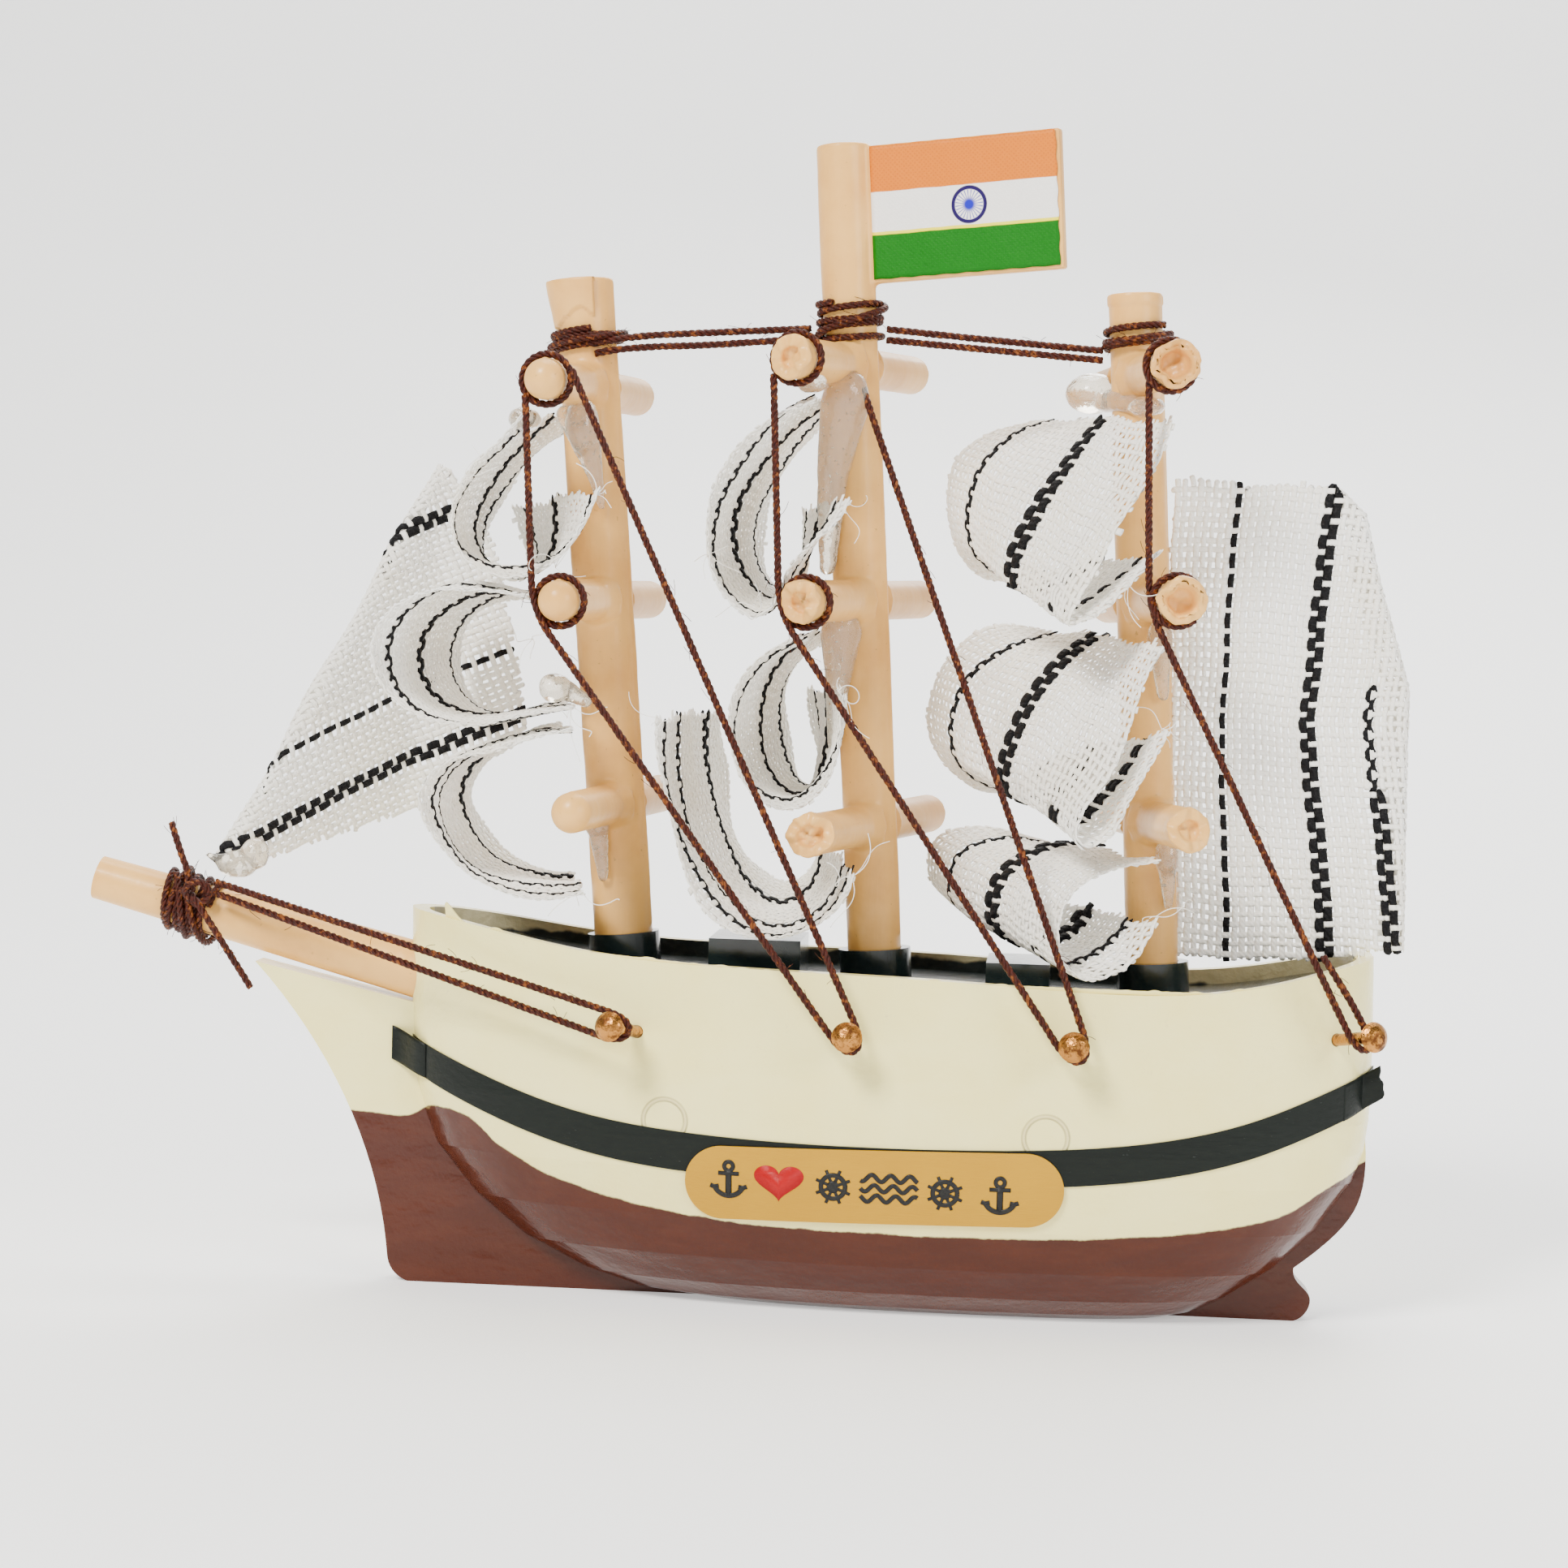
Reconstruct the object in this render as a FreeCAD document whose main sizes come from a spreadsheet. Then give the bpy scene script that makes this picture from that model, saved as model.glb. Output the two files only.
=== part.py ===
"""Small souvenir sailing ship: a two-part moulded hull, three masts with yards, gauze sails and thread rigging.

Millimetres. +X runs to the stern, -Y is the port side with the brass pins, +Z is up. The origin is on the
plane that the flat keel rests on, below the middle of the hull.
"""
import FreeCAD, Part, Sketcher
import math
import os

from FreeCAD import Placement, Rotation, Vector

os.makedirs("parts", exist_ok=True)
doc = FreeCAD.newDocument("ship")

# ---------------------------------------------------------------- driving dimensions
SIZES = {
    "hull_wall": 1.4,          # moulded wall of each half
    "keel_half": 1.5,          # half thickness of the stem, keel and sternpost plate
    "tape_thick": 0.15,
    "plate_thick": 0.2,
    "label_thick": 0.15,
    "deck_thick": 1.4,
    "deck_drop": 1.3,          # deck below the bulwark rim
    "fit_gap": 0.12,           # room between the deck and the hull wall
    "socket_outer": 6.0,
    "socket_height": 2.4,
    "house_wide": 8.6,
    "bowsprit_tip": 3.7,
    "bowsprit_root": 4.9,
    "fore_mast_dia": 4.9,
    "fore_mast_tall": 58.6,
    "main_mast_dia": 4.5,
    "main_mast_tall": 70.0,
    "mizzen_mast_dia": 4.3,
    "mizzen_mast_tall": 58.2,
    "yard_dia": 3.3,
    "fore_yard_near": 14.5,
    "main_yard_near": 14.3,
    "mizzen_yard_near": 16.0,
    "yard_far": 14.5,
    "yard_bore": 1.6,
    "yard_bore_deep": 4.0,
    "board_wide": 17.3,
    "board_tall": 11.3,
    "board_thick": 1.1,
    "cloth_thick": 0.6,
    "ribbon_wide": 24.4,
    "thread_dia": 0.8,
    "pin_shaft": 1.0,
    "pin_head": 2.5,
    "pin_long": 7.0,
}
sheet = doc.addObject("Spreadsheet::Sheet", "sizes")
for row, (alias, number) in enumerate(SIZES.items(), start=1):
    sheet.set("A%d" % row, alias)
    sheet.set("B%d" % row, str(number))
    sheet.setAlias("B%d" % row, alias)
doc.recompute()


def size(alias):
    return float(sheet.get(alias))


def add_shape(name, shape, placement=None):
    """A sub-part whose outline no primitive gives: a feature with its own label."""
    feature = doc.addObject("Part::Feature", name)
    feature.Label = name
    feature.Shape = shape
    if placement is not None:
        feature.Placement = placement
    return feature


def spline(points):
    """A smooth curve through the points, its speed even along them."""
    places = [Vector(*point) for point in points]
    travel = [0.0]
    for before, after in zip(places, places[1:]):
        travel.append(travel[-1] + (after - before).Length)
    curve = Part.BSplineCurve()
    curve.interpolate(Points=places, Parameters=travel)
    return curve.toShape()


def side_slab(outline, half_width):
    """A closed outline in the XZ plane, given as edges, made a slab across the ship."""
    face = Part.Face(Part.Wire(Part.sortEdges(outline)[0]))
    face.translate(Vector(0, -half_width, 0))
    return face.extrude(Vector(0, 2 * half_width, 0))


def line(start, end):
    return Part.makeLine(Vector(*start), Vector(*end))


# ---------------------------------------------------------------- hull form
# height, foremost x, aftmost x and half beam of each waterline
WATERLINES = [
    (0.0, -11.5, 28.0, 5.0),
    (0.6, -16.5, 30.5, 6.4),
    (2.0, -21.0, 33.2, 8.0),
    (4.5, -26.0, 36.8, 9.7),
    (8.0, -30.3, 40.2, 11.1),
    (12.0, -33.6, 42.9, 12.0),
    (14.5, -34.6, 43.7, 12.25),
    (17.0, -35.3, 44.0, 12.3),
    (20.0, -35.7, 44.1, 12.2),
    (24.0, -35.9, 44.1, 11.95),
    (33.0, -36.1, 43.9, 11.4),
]
BOW_FULLNESS = 2.1
STERN_FULLNESS = 2.9
RIM_SLAB = 20.0
SHEER = [(-50, 31.4), (-31, 31.0), (-20, 29.2), (-8, 28.5), (12, 28.0), (31, 27.8), (36.5, 28.7), (41, 29.8), (50, 30.2)]


def waterline(height, bow, stern, beam, inset):
    """Half of a boat-shaped oval at one height, closed along the centre plane."""
    middle = 0.45 * bow + 0.55 * stern
    points = []
    steps = 16
    for step in range(steps + 1):
        turn = math.pi * step / steps
        ahead = math.cos(turn) > 0
        fullness = BOW_FULLNESS if ahead else STERN_FULLNESS
        reach = (middle - bow if ahead else stern - middle) - inset
        along = math.copysign(abs(math.cos(turn)) ** (2 / fullness), math.cos(turn))
        out = math.sin(turn) ** (2 / fullness) if 0 < step < steps else 0.0
        points.append((middle - reach * along, -(beam - inset) * out, height))
    return Part.Wire([spline(points), line(points[-1], points[0])])


def half_form(inset, floor=0.0):
    """The port half of the hull's outer form, drawn in by inset, or let out by a negative one."""
    wires = [waterline(height, bow, stern, beam, inset) for height, bow, stern, beam in WATERLINES if height >= floor]
    return Part.makeLoft(wires, True, True)


def below_sheer(drop):
    """Everything under the bulwark rim, lowered by drop."""
    top = spline([(x, 0, z - drop) for x, z in SHEER])
    first, last = SHEER[0], SHEER[-1]
    corners = [(last[0], 0, last[1] - drop), (last[0], 0, -5), (first[0], 0, -5), (first[0], 0, first[1] - drop)]
    return side_slab([top] + [line(a, b) for a, b in zip(corners, corners[1:])], RIM_SLAB)


def stem_outline():
    """Beakhead, cutwater and forefoot in front of the hull."""
    return [
        spline([(-49.2, 0, 26.6), (-43.4, 0, 19.2), (-39.6, 0, 11.6), (-37.4, 0, 2.4)]),
        spline([(-37.4, 0, 2.4), (-36.9, 0, 0.9), (-35.6, 0, 0.0)]),
        line((-35.6, 0, 0.0), (0, 0, 0)),
        line((0, 0, 0), (0, 0, 15.0)),
        line((0, 0, 15.0), (-30.0, 0, 22.4)),
        line((-30.0, 0, 22.4), (-49.2, 0, 26.6)),
    ]


def sternpost_outline():
    """Sternpost with the rudder's heel, behind and under the stern."""
    return [
        spline([(43.6, 0, 17.0), (43.95, 0, 12.6), (43.3, 0, 9.6), (41.6, 0, 7.2), (38.4, 0, 4.4)]),
        spline([(38.4, 0, 4.4), (38.8, 0, 3.2), (39.8, 0, 2.0), (39.4, 0, 0.6), (38.0, 0, 0.0)]),
        line((38.0, 0, 0.0), (15.0, 0, 0.0)),
        line((15.0, 0, 0.0), (15.0, 0, 17.0)),
        line((15.0, 0, 17.0), (43.6, 0, 17.0)),
    ]


def keel_plate(outline):
    """The port half of a plate on the centre plane."""
    slab = side_slab(outline, size("keel_half"))
    port = Part.makeBox(120, 10, 60, Vector(-60, -10, -5))
    return slab.common(port)


# bowsprit: a tapered peg from its tip to its root inside the bow
BOWSPRIT_TIP = Vector(-63.2, 0, 33.1)
BOWSPRIT_ROOT = Vector(-31.5, 0, 25.2)


def bowsprit_peg(grow):
    axis = BOWSPRIT_ROOT - BOWSPRIT_TIP
    return Part.makeCone(size("bowsprit_tip") / 2 + grow, size("bowsprit_root") / 2 + grow,
                         axis.Length + grow, BOWSPRIT_TIP, axis)


# brass pins: where the shaft meets the hull, and the middle of the head
PINS = [
    (Vector(-15.9, -11.6, 23.2), Vector(-17.1, -15.4, 23.9)),
    (Vector(1.9, -11.9, 22.9), Vector(1.9, -15.6, 23.8)),
    (Vector(20.1, -11.9, 22.9), Vector(19.8, -15.6, 23.7)),
    (Vector(41.4, -8.4, 24.3), Vector(43.4, -12.2, 25.0)),
]


def pin_shaft(foot, head, grow):
    out = (head - foot).normalize()
    start = head - out * size("pin_long")
    return Part.makeCylinder(size("pin_shaft") / 2 + grow, size("pin_long") + grow, start, out)


hull_wall = size("hull_wall")
hull_solid = half_form(0).fuse(keel_plate(stem_outline())).fuse(keel_plate(sternpost_outline()))
hull_solid = hull_solid.common(below_sheer(0))
hull_solid = hull_solid.cut(half_form(hull_wall, floor=2.0)).cut(bowsprit_peg(0.03)).removeSplitter()
port_half = hull_solid
for foot, head in PINS:
    port_half = port_half.cut(pin_shaft(foot, head, 0.03))
add_shape("hull_port_half", port_half)
add_shape("hull_starboard_half", hull_solid.mirror(Vector(0, 0, 0), Vector(0, 1, 0)))
add_shape("bowsprit", bowsprit_peg(0))


def pin(foot, head):
    """A shaft with a domed head, its flat side towards the hull."""
    out = (head - foot).normalize()
    radius = size("pin_head") / 2
    dome = Part.makeSphere(radius * 1.15, head - out * radius * 0.6)
    keep = Part.makeCylinder(radius, radius, head, out)
    return pin_shaft(foot, head, 0).fuse(dome.common(keep)).removeSplitter()


add_shape("brass_pins", Part.makeCompound([pin(foot, head) for foot, head in PINS]))

# ---------------------------------------------------------------- masts and yards
# foot on the centre plane (x, z), lean towards the bow and turn in the socket (degrees), yard heights
MASTS = {
    "fore": {"foot": Vector(-17.8, 0, 26), "lean": 5.0, "turn": -8.0, "yards": (49.6, 31.9, 14.9), "socket": 4.1},
    "main": {"foot": Vector(3.2, 0, 26), "lean": 3.9, "turn": -17.0, "yards": (51.8, 32.4, 13.8), "socket": 3.5},
    "mizzen": {"foot": Vector(26.2, 0, 26), "lean": 3.4, "turn": 11.0, "yards": (51.3, 32.9, 14.9), "socket": 3.2},
}


def mast_place(name):
    mast = MASTS[name]
    lean = Rotation(Vector(0, 1, 0), -mast["lean"])
    turn = Rotation(Vector(0, 0, 1), mast["turn"])
    return Placement(mast["foot"], lean * turn)


def origin_plane(body, role):
    return next(item for item in body.Origin.OriginFeatures if item.Role == role)


def add_sketch(body, name, role):
    drawing = body.newObject("Sketcher::SketchObject", name)
    drawing.AttachmentSupport = [(origin_plane(body, role), "")]
    drawing.MapMode = "FlatFace"
    return drawing


def add_circle(drawing, across, up, diameter_cell):
    circle = drawing.addGeometry(Part.Circle(Vector(across, up, 0), Vector(0, 0, 1), 1.0), False)
    index = drawing.addConstraint(Sketcher.Constraint("Diameter", circle, 2.0))
    drawing.setExpression("Constraints[%d]" % index, "sizes." + diameter_cell)


def build_mast(name):
    """A round mast with three round yards across it, all one moulding."""
    mast = MASTS[name]
    body = doc.addObject("PartDesign::Body", name + "_mast")
    body.Label = name + "_mast"
    post_circle = add_sketch(body, name + "_post", "XY_Plane")
    add_circle(post_circle, 0, 0, name + "_mast_dia")
    post = body.newObject("PartDesign::Pad", name + "_post_pad")
    post.Profile = post_circle
    post.setExpression("Length", "sizes.%s_mast_tall" % name)
    yard_circles = add_sketch(body, name + "_yards", "XZ_Plane")
    for height in mast["yards"]:
        add_circle(yard_circles, 0, height, "yard_dia")
    yards = body.newObject("PartDesign::Pad", name + "_yards_pad")
    yards.Profile = yard_circles
    yards.SideType = "Two sides"
    yards.setExpression("Length", "sizes.%s_yard_near" % name)
    yards.setExpression("Length2", "sizes.yard_far")
    if name != "fore":
        bores = add_sketch(body, name + "_bores", "XZ_Plane")
        for height in mast["yards"]:
            add_circle(bores, 0, height, "yard_bore")
        bores.setExpression("AttachmentOffset.Base.z", "sizes.%s_yard_near" % name)
        bore = body.newObject("PartDesign::Pocket", name + "_bore_pocket")
        bore.Profile = bores
        bore.setExpression("Length", "sizes.yard_bore_deep")
    return body


BOARD_LEFT, BOARD_TOP = 1.5, 69.7


def add_board(body):
    """The flag board on the head of the main mast."""
    drawing = add_sketch(body, "board_outline", "XZ_Plane")
    left, top = BOARD_LEFT, BOARD_TOP
    right, bottom = left + size("board_wide"), top - size("board_tall")
    corners = [Vector(left, bottom, 0), Vector(right, bottom, 0), Vector(right, top, 0), Vector(left, top, 0)]
    for start, end in zip(corners, corners[1:] + corners[:1]):
        drawing.addGeometry(Part.LineSegment(start, end), False)
    for side in range(4):
        drawing.addConstraint(Sketcher.Constraint("Coincident", side, 2, (side + 1) % 4, 1))
    board = body.newObject("PartDesign::Pad", "board_pad")
    board.Profile = drawing
    board.SideType = "Symmetric"
    board.setExpression("Length", "sizes.board_thick")


for mast_name in MASTS:
    mast_body = build_mast(mast_name)
    if mast_name == "main":
        add_board(mast_body)
    mast_body.Placement = mast_place(mast_name)

# the printed label leaves a rim of the board bare, widest beside the mast
label = doc.addObject("Part::Box", "flag_label")
label.Label = "flag_label"
label.setExpression("Length", "sizes.board_wide - 1.3")
label.setExpression("Width", "sizes.label_thick")
label.setExpression("Height", "sizes.board_tall - 0.4")
label_corner = Vector(BOARD_LEFT + 1.0, -size("board_thick") / 2 - size("label_thick"), BOARD_TOP - size("board_tall") + 0.3)
label.Placement = mast_place("main") * Placement(label_corner, Rotation())
doc.recompute()


def mast_shape(name):
    return doc.getObject(name + "_mast").Shape


# ---------------------------------------------------------------- deck with sockets and deckhouses
HOUSES = [(-10.5, -2.9, 30.2), (12.4, 17.6, 29.0)]


def deck_moulding():
    deck_drop, deck_thick = size("deck_drop"), size("deck_thick")
    slab = below_sheer(deck_drop).cut(below_sheer(deck_drop + deck_thick))
    room = half_form(hull_wall + size("fit_gap"))
    room = room.fuse(room.mirror(Vector(0, 0, 0), Vector(0, 1, 0)))
    moulding = slab.common(room)
    for bow, stern, top in HOUSES:
        wide = size("house_wide")
        moulding = moulding.fuse(Part.makeBox(stern - bow, wide, top - 26.0, Vector(bow, -wide / 2, 26.0)))
    for name, mast in MASTS.items():
        floor = 0.6
        tube = Part.makeCylinder(size("socket_outer") / 2, mast["socket"] + floor, Vector(0, 0, -floor))
        tube.Placement = mast_place(name)
        moulding = moulding.fuse(tube)
    for name, mast in MASTS.items():
        bore = Part.makeCylinder(size(name + "_mast_dia") / 2 + 0.03, mast["socket"] + 2)
        bore.Placement = mast_place(name)
        moulding = moulding.cut(bore)
    return moulding.cut(bowsprit_peg(0.15)).removeSplitter()


add_shape("deck", deck_moulding())

# ---------------------------------------------------------------- tape stripes and name plate
STRIPE_TOP = [(-37.5, 21.7), (-30, 19.0), (-20.5, 16.2), (-10.8, 15.0), (0, 14.6), (12, 14.7), (25, 15.6), (34.5, 17.7),
              (40.2, 19.9), (46, 22.0)]
STRIPE_BOTTOM = [(46, 19.2), (40.3, 17.0), (34.7, 14.8), (25, 12.6), (19, 12.0), (4, 11.7), (-10.7, 11.8),
                 (-20.6, 13.1), (-30, 16.0), (-37.5, 18.9)]
PLATE_LEFT, PLATE_RIGHT, PLATE_LOW, PLATE_HIGH, PLATE_TILT = -11.2, 19.4, 8.3, 14.4, 1.2


def skin(inner, outer, outline):
    """The part of a thin layer over the port side that lies inside an outline seen from the side."""
    layer = half_form(-outer).cut(half_form(-inner))
    window = side_slab(outline, RIM_SLAB)
    room = Part.makeBox(82.5, 20, 60, Vector(-36.4, -20.4, -5))
    return layer.common(window).common(room).common(Part.makeBox(200, 30, 60, Vector(-100, -30.4 - 1.2, -5)))


def stripe_outline():
    top = [(x, 0, z) for x, z in STRIPE_TOP]
    bottom = [(x, 0, z) for x, z in STRIPE_BOTTOM]
    return [spline(top), line(top[-1], bottom[0]), spline(bottom), line(bottom[-1], top[0])]


def plate_outline():
    """A pill-shaped outline, tilted a little."""
    radius = (PLATE_HIGH - PLATE_LOW) / 2
    middle = (PLATE_HIGH + PLATE_LOW) / 2
    first, last = PLATE_LEFT + radius, PLATE_RIGHT - radius
    arcs = [Part.Arc(Vector(first, 0, PLATE_HIGH), Vector(PLATE_LEFT, 0, middle), Vector(first, 0, PLATE_LOW)),
            Part.Arc(Vector(last, 0, PLATE_LOW), Vector(PLATE_RIGHT, 0, middle), Vector(last, 0, PLATE_HIGH))]
    edges = [arc.toShape() for arc in arcs]
    edges += [line((first, 0, PLATE_LOW), (last, 0, PLATE_LOW)), line((last, 0, PLATE_HIGH), (first, 0, PLATE_HIGH))]
    for edge in edges:
        edge.rotate(Vector((first + last) / 2, 0, middle), Vector(0, 1, 0), -PLATE_TILT)
    return edges


tape = size("tape_thick")
stripe = skin(0, tape, stripe_outline())
plate = skin(tape, tape + size("plate_thick"), plate_outline())
add_shape("port_stripe", stripe)
add_shape("starboard_stripe", stripe.mirror(Vector(0, 0, 0), Vector(0, 1, 0)))
add_shape("name_plate", plate)

# ---------------------------------------------------------------- sails
# each square sail is a curled ribbon; its port and starboard edges (x, z) in the frame of its mast
PORT_REACH = {"main_middle_sail": -11.4, "mizzen_lower_sail": -10.1}
SAILS = {
    "fore_upper_sail": (
        [(-2.2, 47.2), (-4.4, 45.0), (-7.5, 42.2), (-9.1, 39.4), (-8.7, 36.6), (-6.2, 34.9), (-3.0, 34.6), (0.2, 35.5),
         (2.7, 37.9), (3.9, 40.6)],
        [(-4.4, 47.4), (-6.8, 46.2), (-10.8, 43.0), (-14.0, 39.4), (-14.4, 36.6), (-12.6, 34.9), (-10.8, 34.6),
         (-9.9, 35.7), (-10.2, 37.9), (-11.0, 40.4)]),
    "fore_middle_sail": (
        [(-2.6, 32.2), (-6.0, 33.4), (-10.1, 33.9), (-14.2, 31.6), (-15.9, 28.7), (-15.4, 25.5), (-13.2, 23.3),
         (-9.5, 22.4), (-4.0, 22.9), (0.4, 23.2)],
        [(-5.0, 32.0), (-8.8, 32.8), (-12.0, 33.0), (-15.6, 31.2), (-17.0, 28.4), (-16.5, 25.3), (-14.6, 23.2),
         (-12.0, 22.6), (-9.4, 22.9), (-7.6, 23.2)]),
    "fore_lower_sail": (
        [(0.2, 21.4), (-2.7, 21.3), (-6.9, 20.5), (-11.0, 18.9), (-12.6, 16.6), (-12.0, 13.2), (-9.7, 10.3),
         (-6.3, 8.9), (-2.5, 8.4), (0.4, 8.4)],
        [(-8.2, 21.2), (-9.8, 21.2), (-12.5, 20.2), (-15.3, 18.4), (-16.5, 16.0), (-15.9, 13.0), (-14.0, 10.5),
         (-11.2, 9.2), (-8.9, 8.5), (-7.9, 8.4)]),
    "main_upper_sail": (
        [(1.2, 48.9), (-1.6, 47.8), (-5.3, 44.4), (-8.2, 40.2), (-8.7, 36.3), (-6.8, 32.9), (-4.2, 31.6), (-2.6, 32.8),
         (-1.2, 35.0), (0.8, 36.9), (2.8, 38.8), (3.8, 40.6)],
        [(-7.4, 48.6), (-8.5, 47.6), (-11.3, 44.2), (-13.4, 40.2), (-13.6, 36.8), (-12.4, 34.2), (-10.8, 33.4),
         (-9.8, 33.9), (-9.4, 35.2), (-9.6, 36.8), (-9.8, 38.6), (-10.0, 40.4)]),
    "main_middle_sail": (
        [(-1.0, 29.8), (-4.4, 28.2), (-7.0, 25.0), (-7.7, 21.6), (-6.8, 18.2), (-4.8, 16.5), (-2.4, 16.2), (0.2, 17.6),
         (1.8, 19.7), (2.6, 22.2), (2.8, 25.0)],
        [(-7.6, 29.8), (-9.8, 28.2), (-12.0, 25.0), (-12.6, 21.6), (-12.2, 18.6), (-11.2, 16.9), (-10.0, 16.6),
         (-9.6, 17.6), (-9.6, 19.6), (-9.8, 22.2), (-10.0, 25.0)]),
    "main_lower_sail": (
        [(3.2, 10.6), (2.2, 8.6), (-0.6, 6.2), (-4.9, 5.2), (-9.0, 7.4), (-12.0, 12.0), (-13.3, 18.0), (-13.2, 23.4)],
        [(-9.8, 12.0), (-10.2, 10.2), (-11.2, 8.6), (-13.4, 7.8), (-15.6, 9.4), (-17.4, 13.2), (-18.2, 18.4),
         (-18.2, 23.4)]),
    "mizzen_upper_sail": (
        [(0.2, 47.2), (-1.6, 42.8), (-5.0, 37.2), (-8.0, 32.8), (-8.6, 31.1), (-6.8, 31.6), (-3.4, 34.2), (-0.4, 37.0)],
        [(-6.6, 48.8), (-10.2, 48.0), (-13.2, 45.4), (-14.3, 41.6), (-13.0, 37.8), (-10.6, 35.6), (-8.6, 35.2),
         (-7.0, 36.0)]),
    "mizzen_middle_sail": (
        [(-0.6, 29.3), (-3.0, 25.0), (-5.6, 20.0), (-7.6, 15.9), (-7.8, 14.2), (-6.2, 14.4), (-3.6, 17.4), (-0.8, 22.6)],
        [(-7.0, 31.0), (-11.8, 30.6), (-15.6, 27.4), (-16.3, 22.8), (-14.6, 19.0), (-12.0, 17.3), (-9.6, 17.6),
         (-7.8, 19.4)]),
    "mizzen_lower_sail": (
        [(-1.0, 12.2), (-4.6, 12.0), (-8.0, 10.2), (-9.7, 7.0), (-9.6, 4.4), (-7.6, 2.9), (-4.2, 4.2), (-1.4, 7.6)],
        [(-7.4, 12.8), (-12.2, 13.8), (-16.0, 12.4), (-16.6, 9.4), (-14.4, 7.2), (-11.6, 6.4), (-9.6, 6.8),
         (-8.4, 8.2)]),
}


def band_edge(profile, along):
    """A closed outline of the cloth's thickness along one edge of a ribbon."""
    half = size("cloth_thick") / 2
    middle = [Vector(x, along, z) for x, z in profile]
    outer, inner = [], []
    for index, point in enumerate(middle):
        ahead = middle[min(index + 1, len(middle) - 1)] - middle[max(index - 1, 0)]
        normal = Vector(-ahead.z, 0, ahead.x).normalize() * half
        outer.append(point + normal)
        inner.append(point - normal)
    return Part.Wire([spline(outer), line(outer[-1], inner[-1]), spline(inner[::-1]), line(inner[0], outer[0])])


def ribbon_sail(name):
    near, far = SAILS[name]
    mast_name = name.split("_")[0]
    port = PORT_REACH.get(name, -size("ribbon_wide") / 2)
    ends = [band_edge(near, port), band_edge(far, port + size("ribbon_wide"))]
    return add_shape(name, Part.makeLoft(ends, True, True), mast_place(mast_name))


def flat_cloth(corners, lift):
    """A plane piece of cloth with the given corners, thickened on both sides."""
    face = Part.Face(Part.makePolygon([Vector(*corner) for corner in corners + corners[:1]]))
    normal = face.normalAt(0, 0)
    face.translate(normal * -lift / 2)
    return face.extrude(normal * lift)


for sail_name in SAILS:
    ribbon_sail(sail_name)

SPANKER = [(26.6, 0, 68.8), (41.9, 0, 68.9), (43.5, 0, 62.2), (46.5, 0, 52.3), (46.4, 0, 42.3), (46.6, 0, 31.2),
           (38.0, 0, 30.4), (29.2, 0, 30.0)]
# tack, foot of the fold, head, clew and the corner of the leech
JIB = [(-51.8, 0, 34.8), (-39.8, 14.6, 38.6), (-38.5, 16.4, 69.3), (-29.6, 17.6, 45.6), (-32.8, 17.6, 62.5)]
add_shape("spanker_sail", flat_cloth(SPANKER, size("cloth_thick")))


def jib_cloth():
    """Two flat pieces that meet in a fold, from the bowsprit back past the starboard side of the fore sails."""
    tack, fold, head, clew, leech = [Vector(*corner) for corner in JIB]
    normal = (head - fold).cross(clew - fold).normalize()
    leech = leech - normal * normal.dot(leech - fold)
    thick = size("cloth_thick")
    front = flat_cloth([tuple(tack), tuple(fold), tuple(head)], thick)
    back = flat_cloth([tuple(fold), tuple(clew), tuple(leech), tuple(head)], thick)
    return front.fuse(back).removeSplitter()


add_shape("jib_sail", jib_cloth())

# ---------------------------------------------------------------- rigging
THREAD = size("thread_dia")
# line routes; a fourth number is the radius of a bend round a yard or a pin
ROUTES = {
    "fore_line": [(-25.5, -12.6, 73.9), (-24.5, -12.6, 56.8, 2.1), (1.7, -14.3, 22.1, 1.05), (3.2, -14.1, 23.0, 1.05),
                  (-21.7, -13.3, 76.0)],
    "main_line": [(-5.7, -11.9, 76.1), (-4.8, -11.8, 57.3, 2.1), (19.6, -14.2, 22.0, 1.05), (21.2, -14.2, 22.9, 1.05),
                  (0.9, -3.9, 75.6)],
    "mizzen_line": [(24.0, -13.0, 76.1), (24.6, -13.1, 58.3, 2.1), (42.3, -11.1, 23.4, 1.05),
                    (43.9, -10.1, 24.3, 1.05), (39.2, -11.6, 31.2)],
    "bowsprit_line": [(-52.1, -3.2, 32.3), (-16.0, -14.3, 22.4, 1.05), (-15.4, -14.1, 24.4, 1.05),
                      (-52.3, -3.0, 33.3)],
}


def thread_tube(points):
    """A round tube along straight runs joined by tangent arcs."""
    corners = [Vector(*point[:3]) for point in points]
    edges = []
    leave = corners[0]
    for before, point, after in zip(corners, points[1:-1], corners[2:]):
        corner = Vector(*point[:3])
        inward, onward = (corner - before).normalize(), (after - corner).normalize()
        half_turn = inward.getAngle(onward) / 2
        shorter = min((corner - before).Length, (after - corner).Length)
        radius = point[3] if len(point) > 3 else 0.45 * shorter / math.tan(half_turn)
        setback = radius * math.tan(half_turn)
        start, end = corner - inward * setback, corner + onward * setback
        middle = corner + (onward - inward).normalize() * (radius / math.cos(half_turn) - radius)
        edges.append(Part.LineSegment(leave, start).toShape())
        edges.append(Part.Arc(start, middle, end).toShape())
        leave = end
        print("    bend radius %.2f" % radius)
    edges.append(Part.LineSegment(leave, corners[-1]).toShape())
    path = Part.Wire(edges)
    section = Part.Wire(Part.makeCircle(THREAD / 2, corners[0], corners[1] - corners[0]))
    tube = path.makePipeShell([section], True, False)
    expected = math.pi * THREAD ** 2 / 4 * path.Length
    print("    length %.1f, volume against section times length %.4f" % (path.Length, tube.Volume / expected))
    return tube


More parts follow.
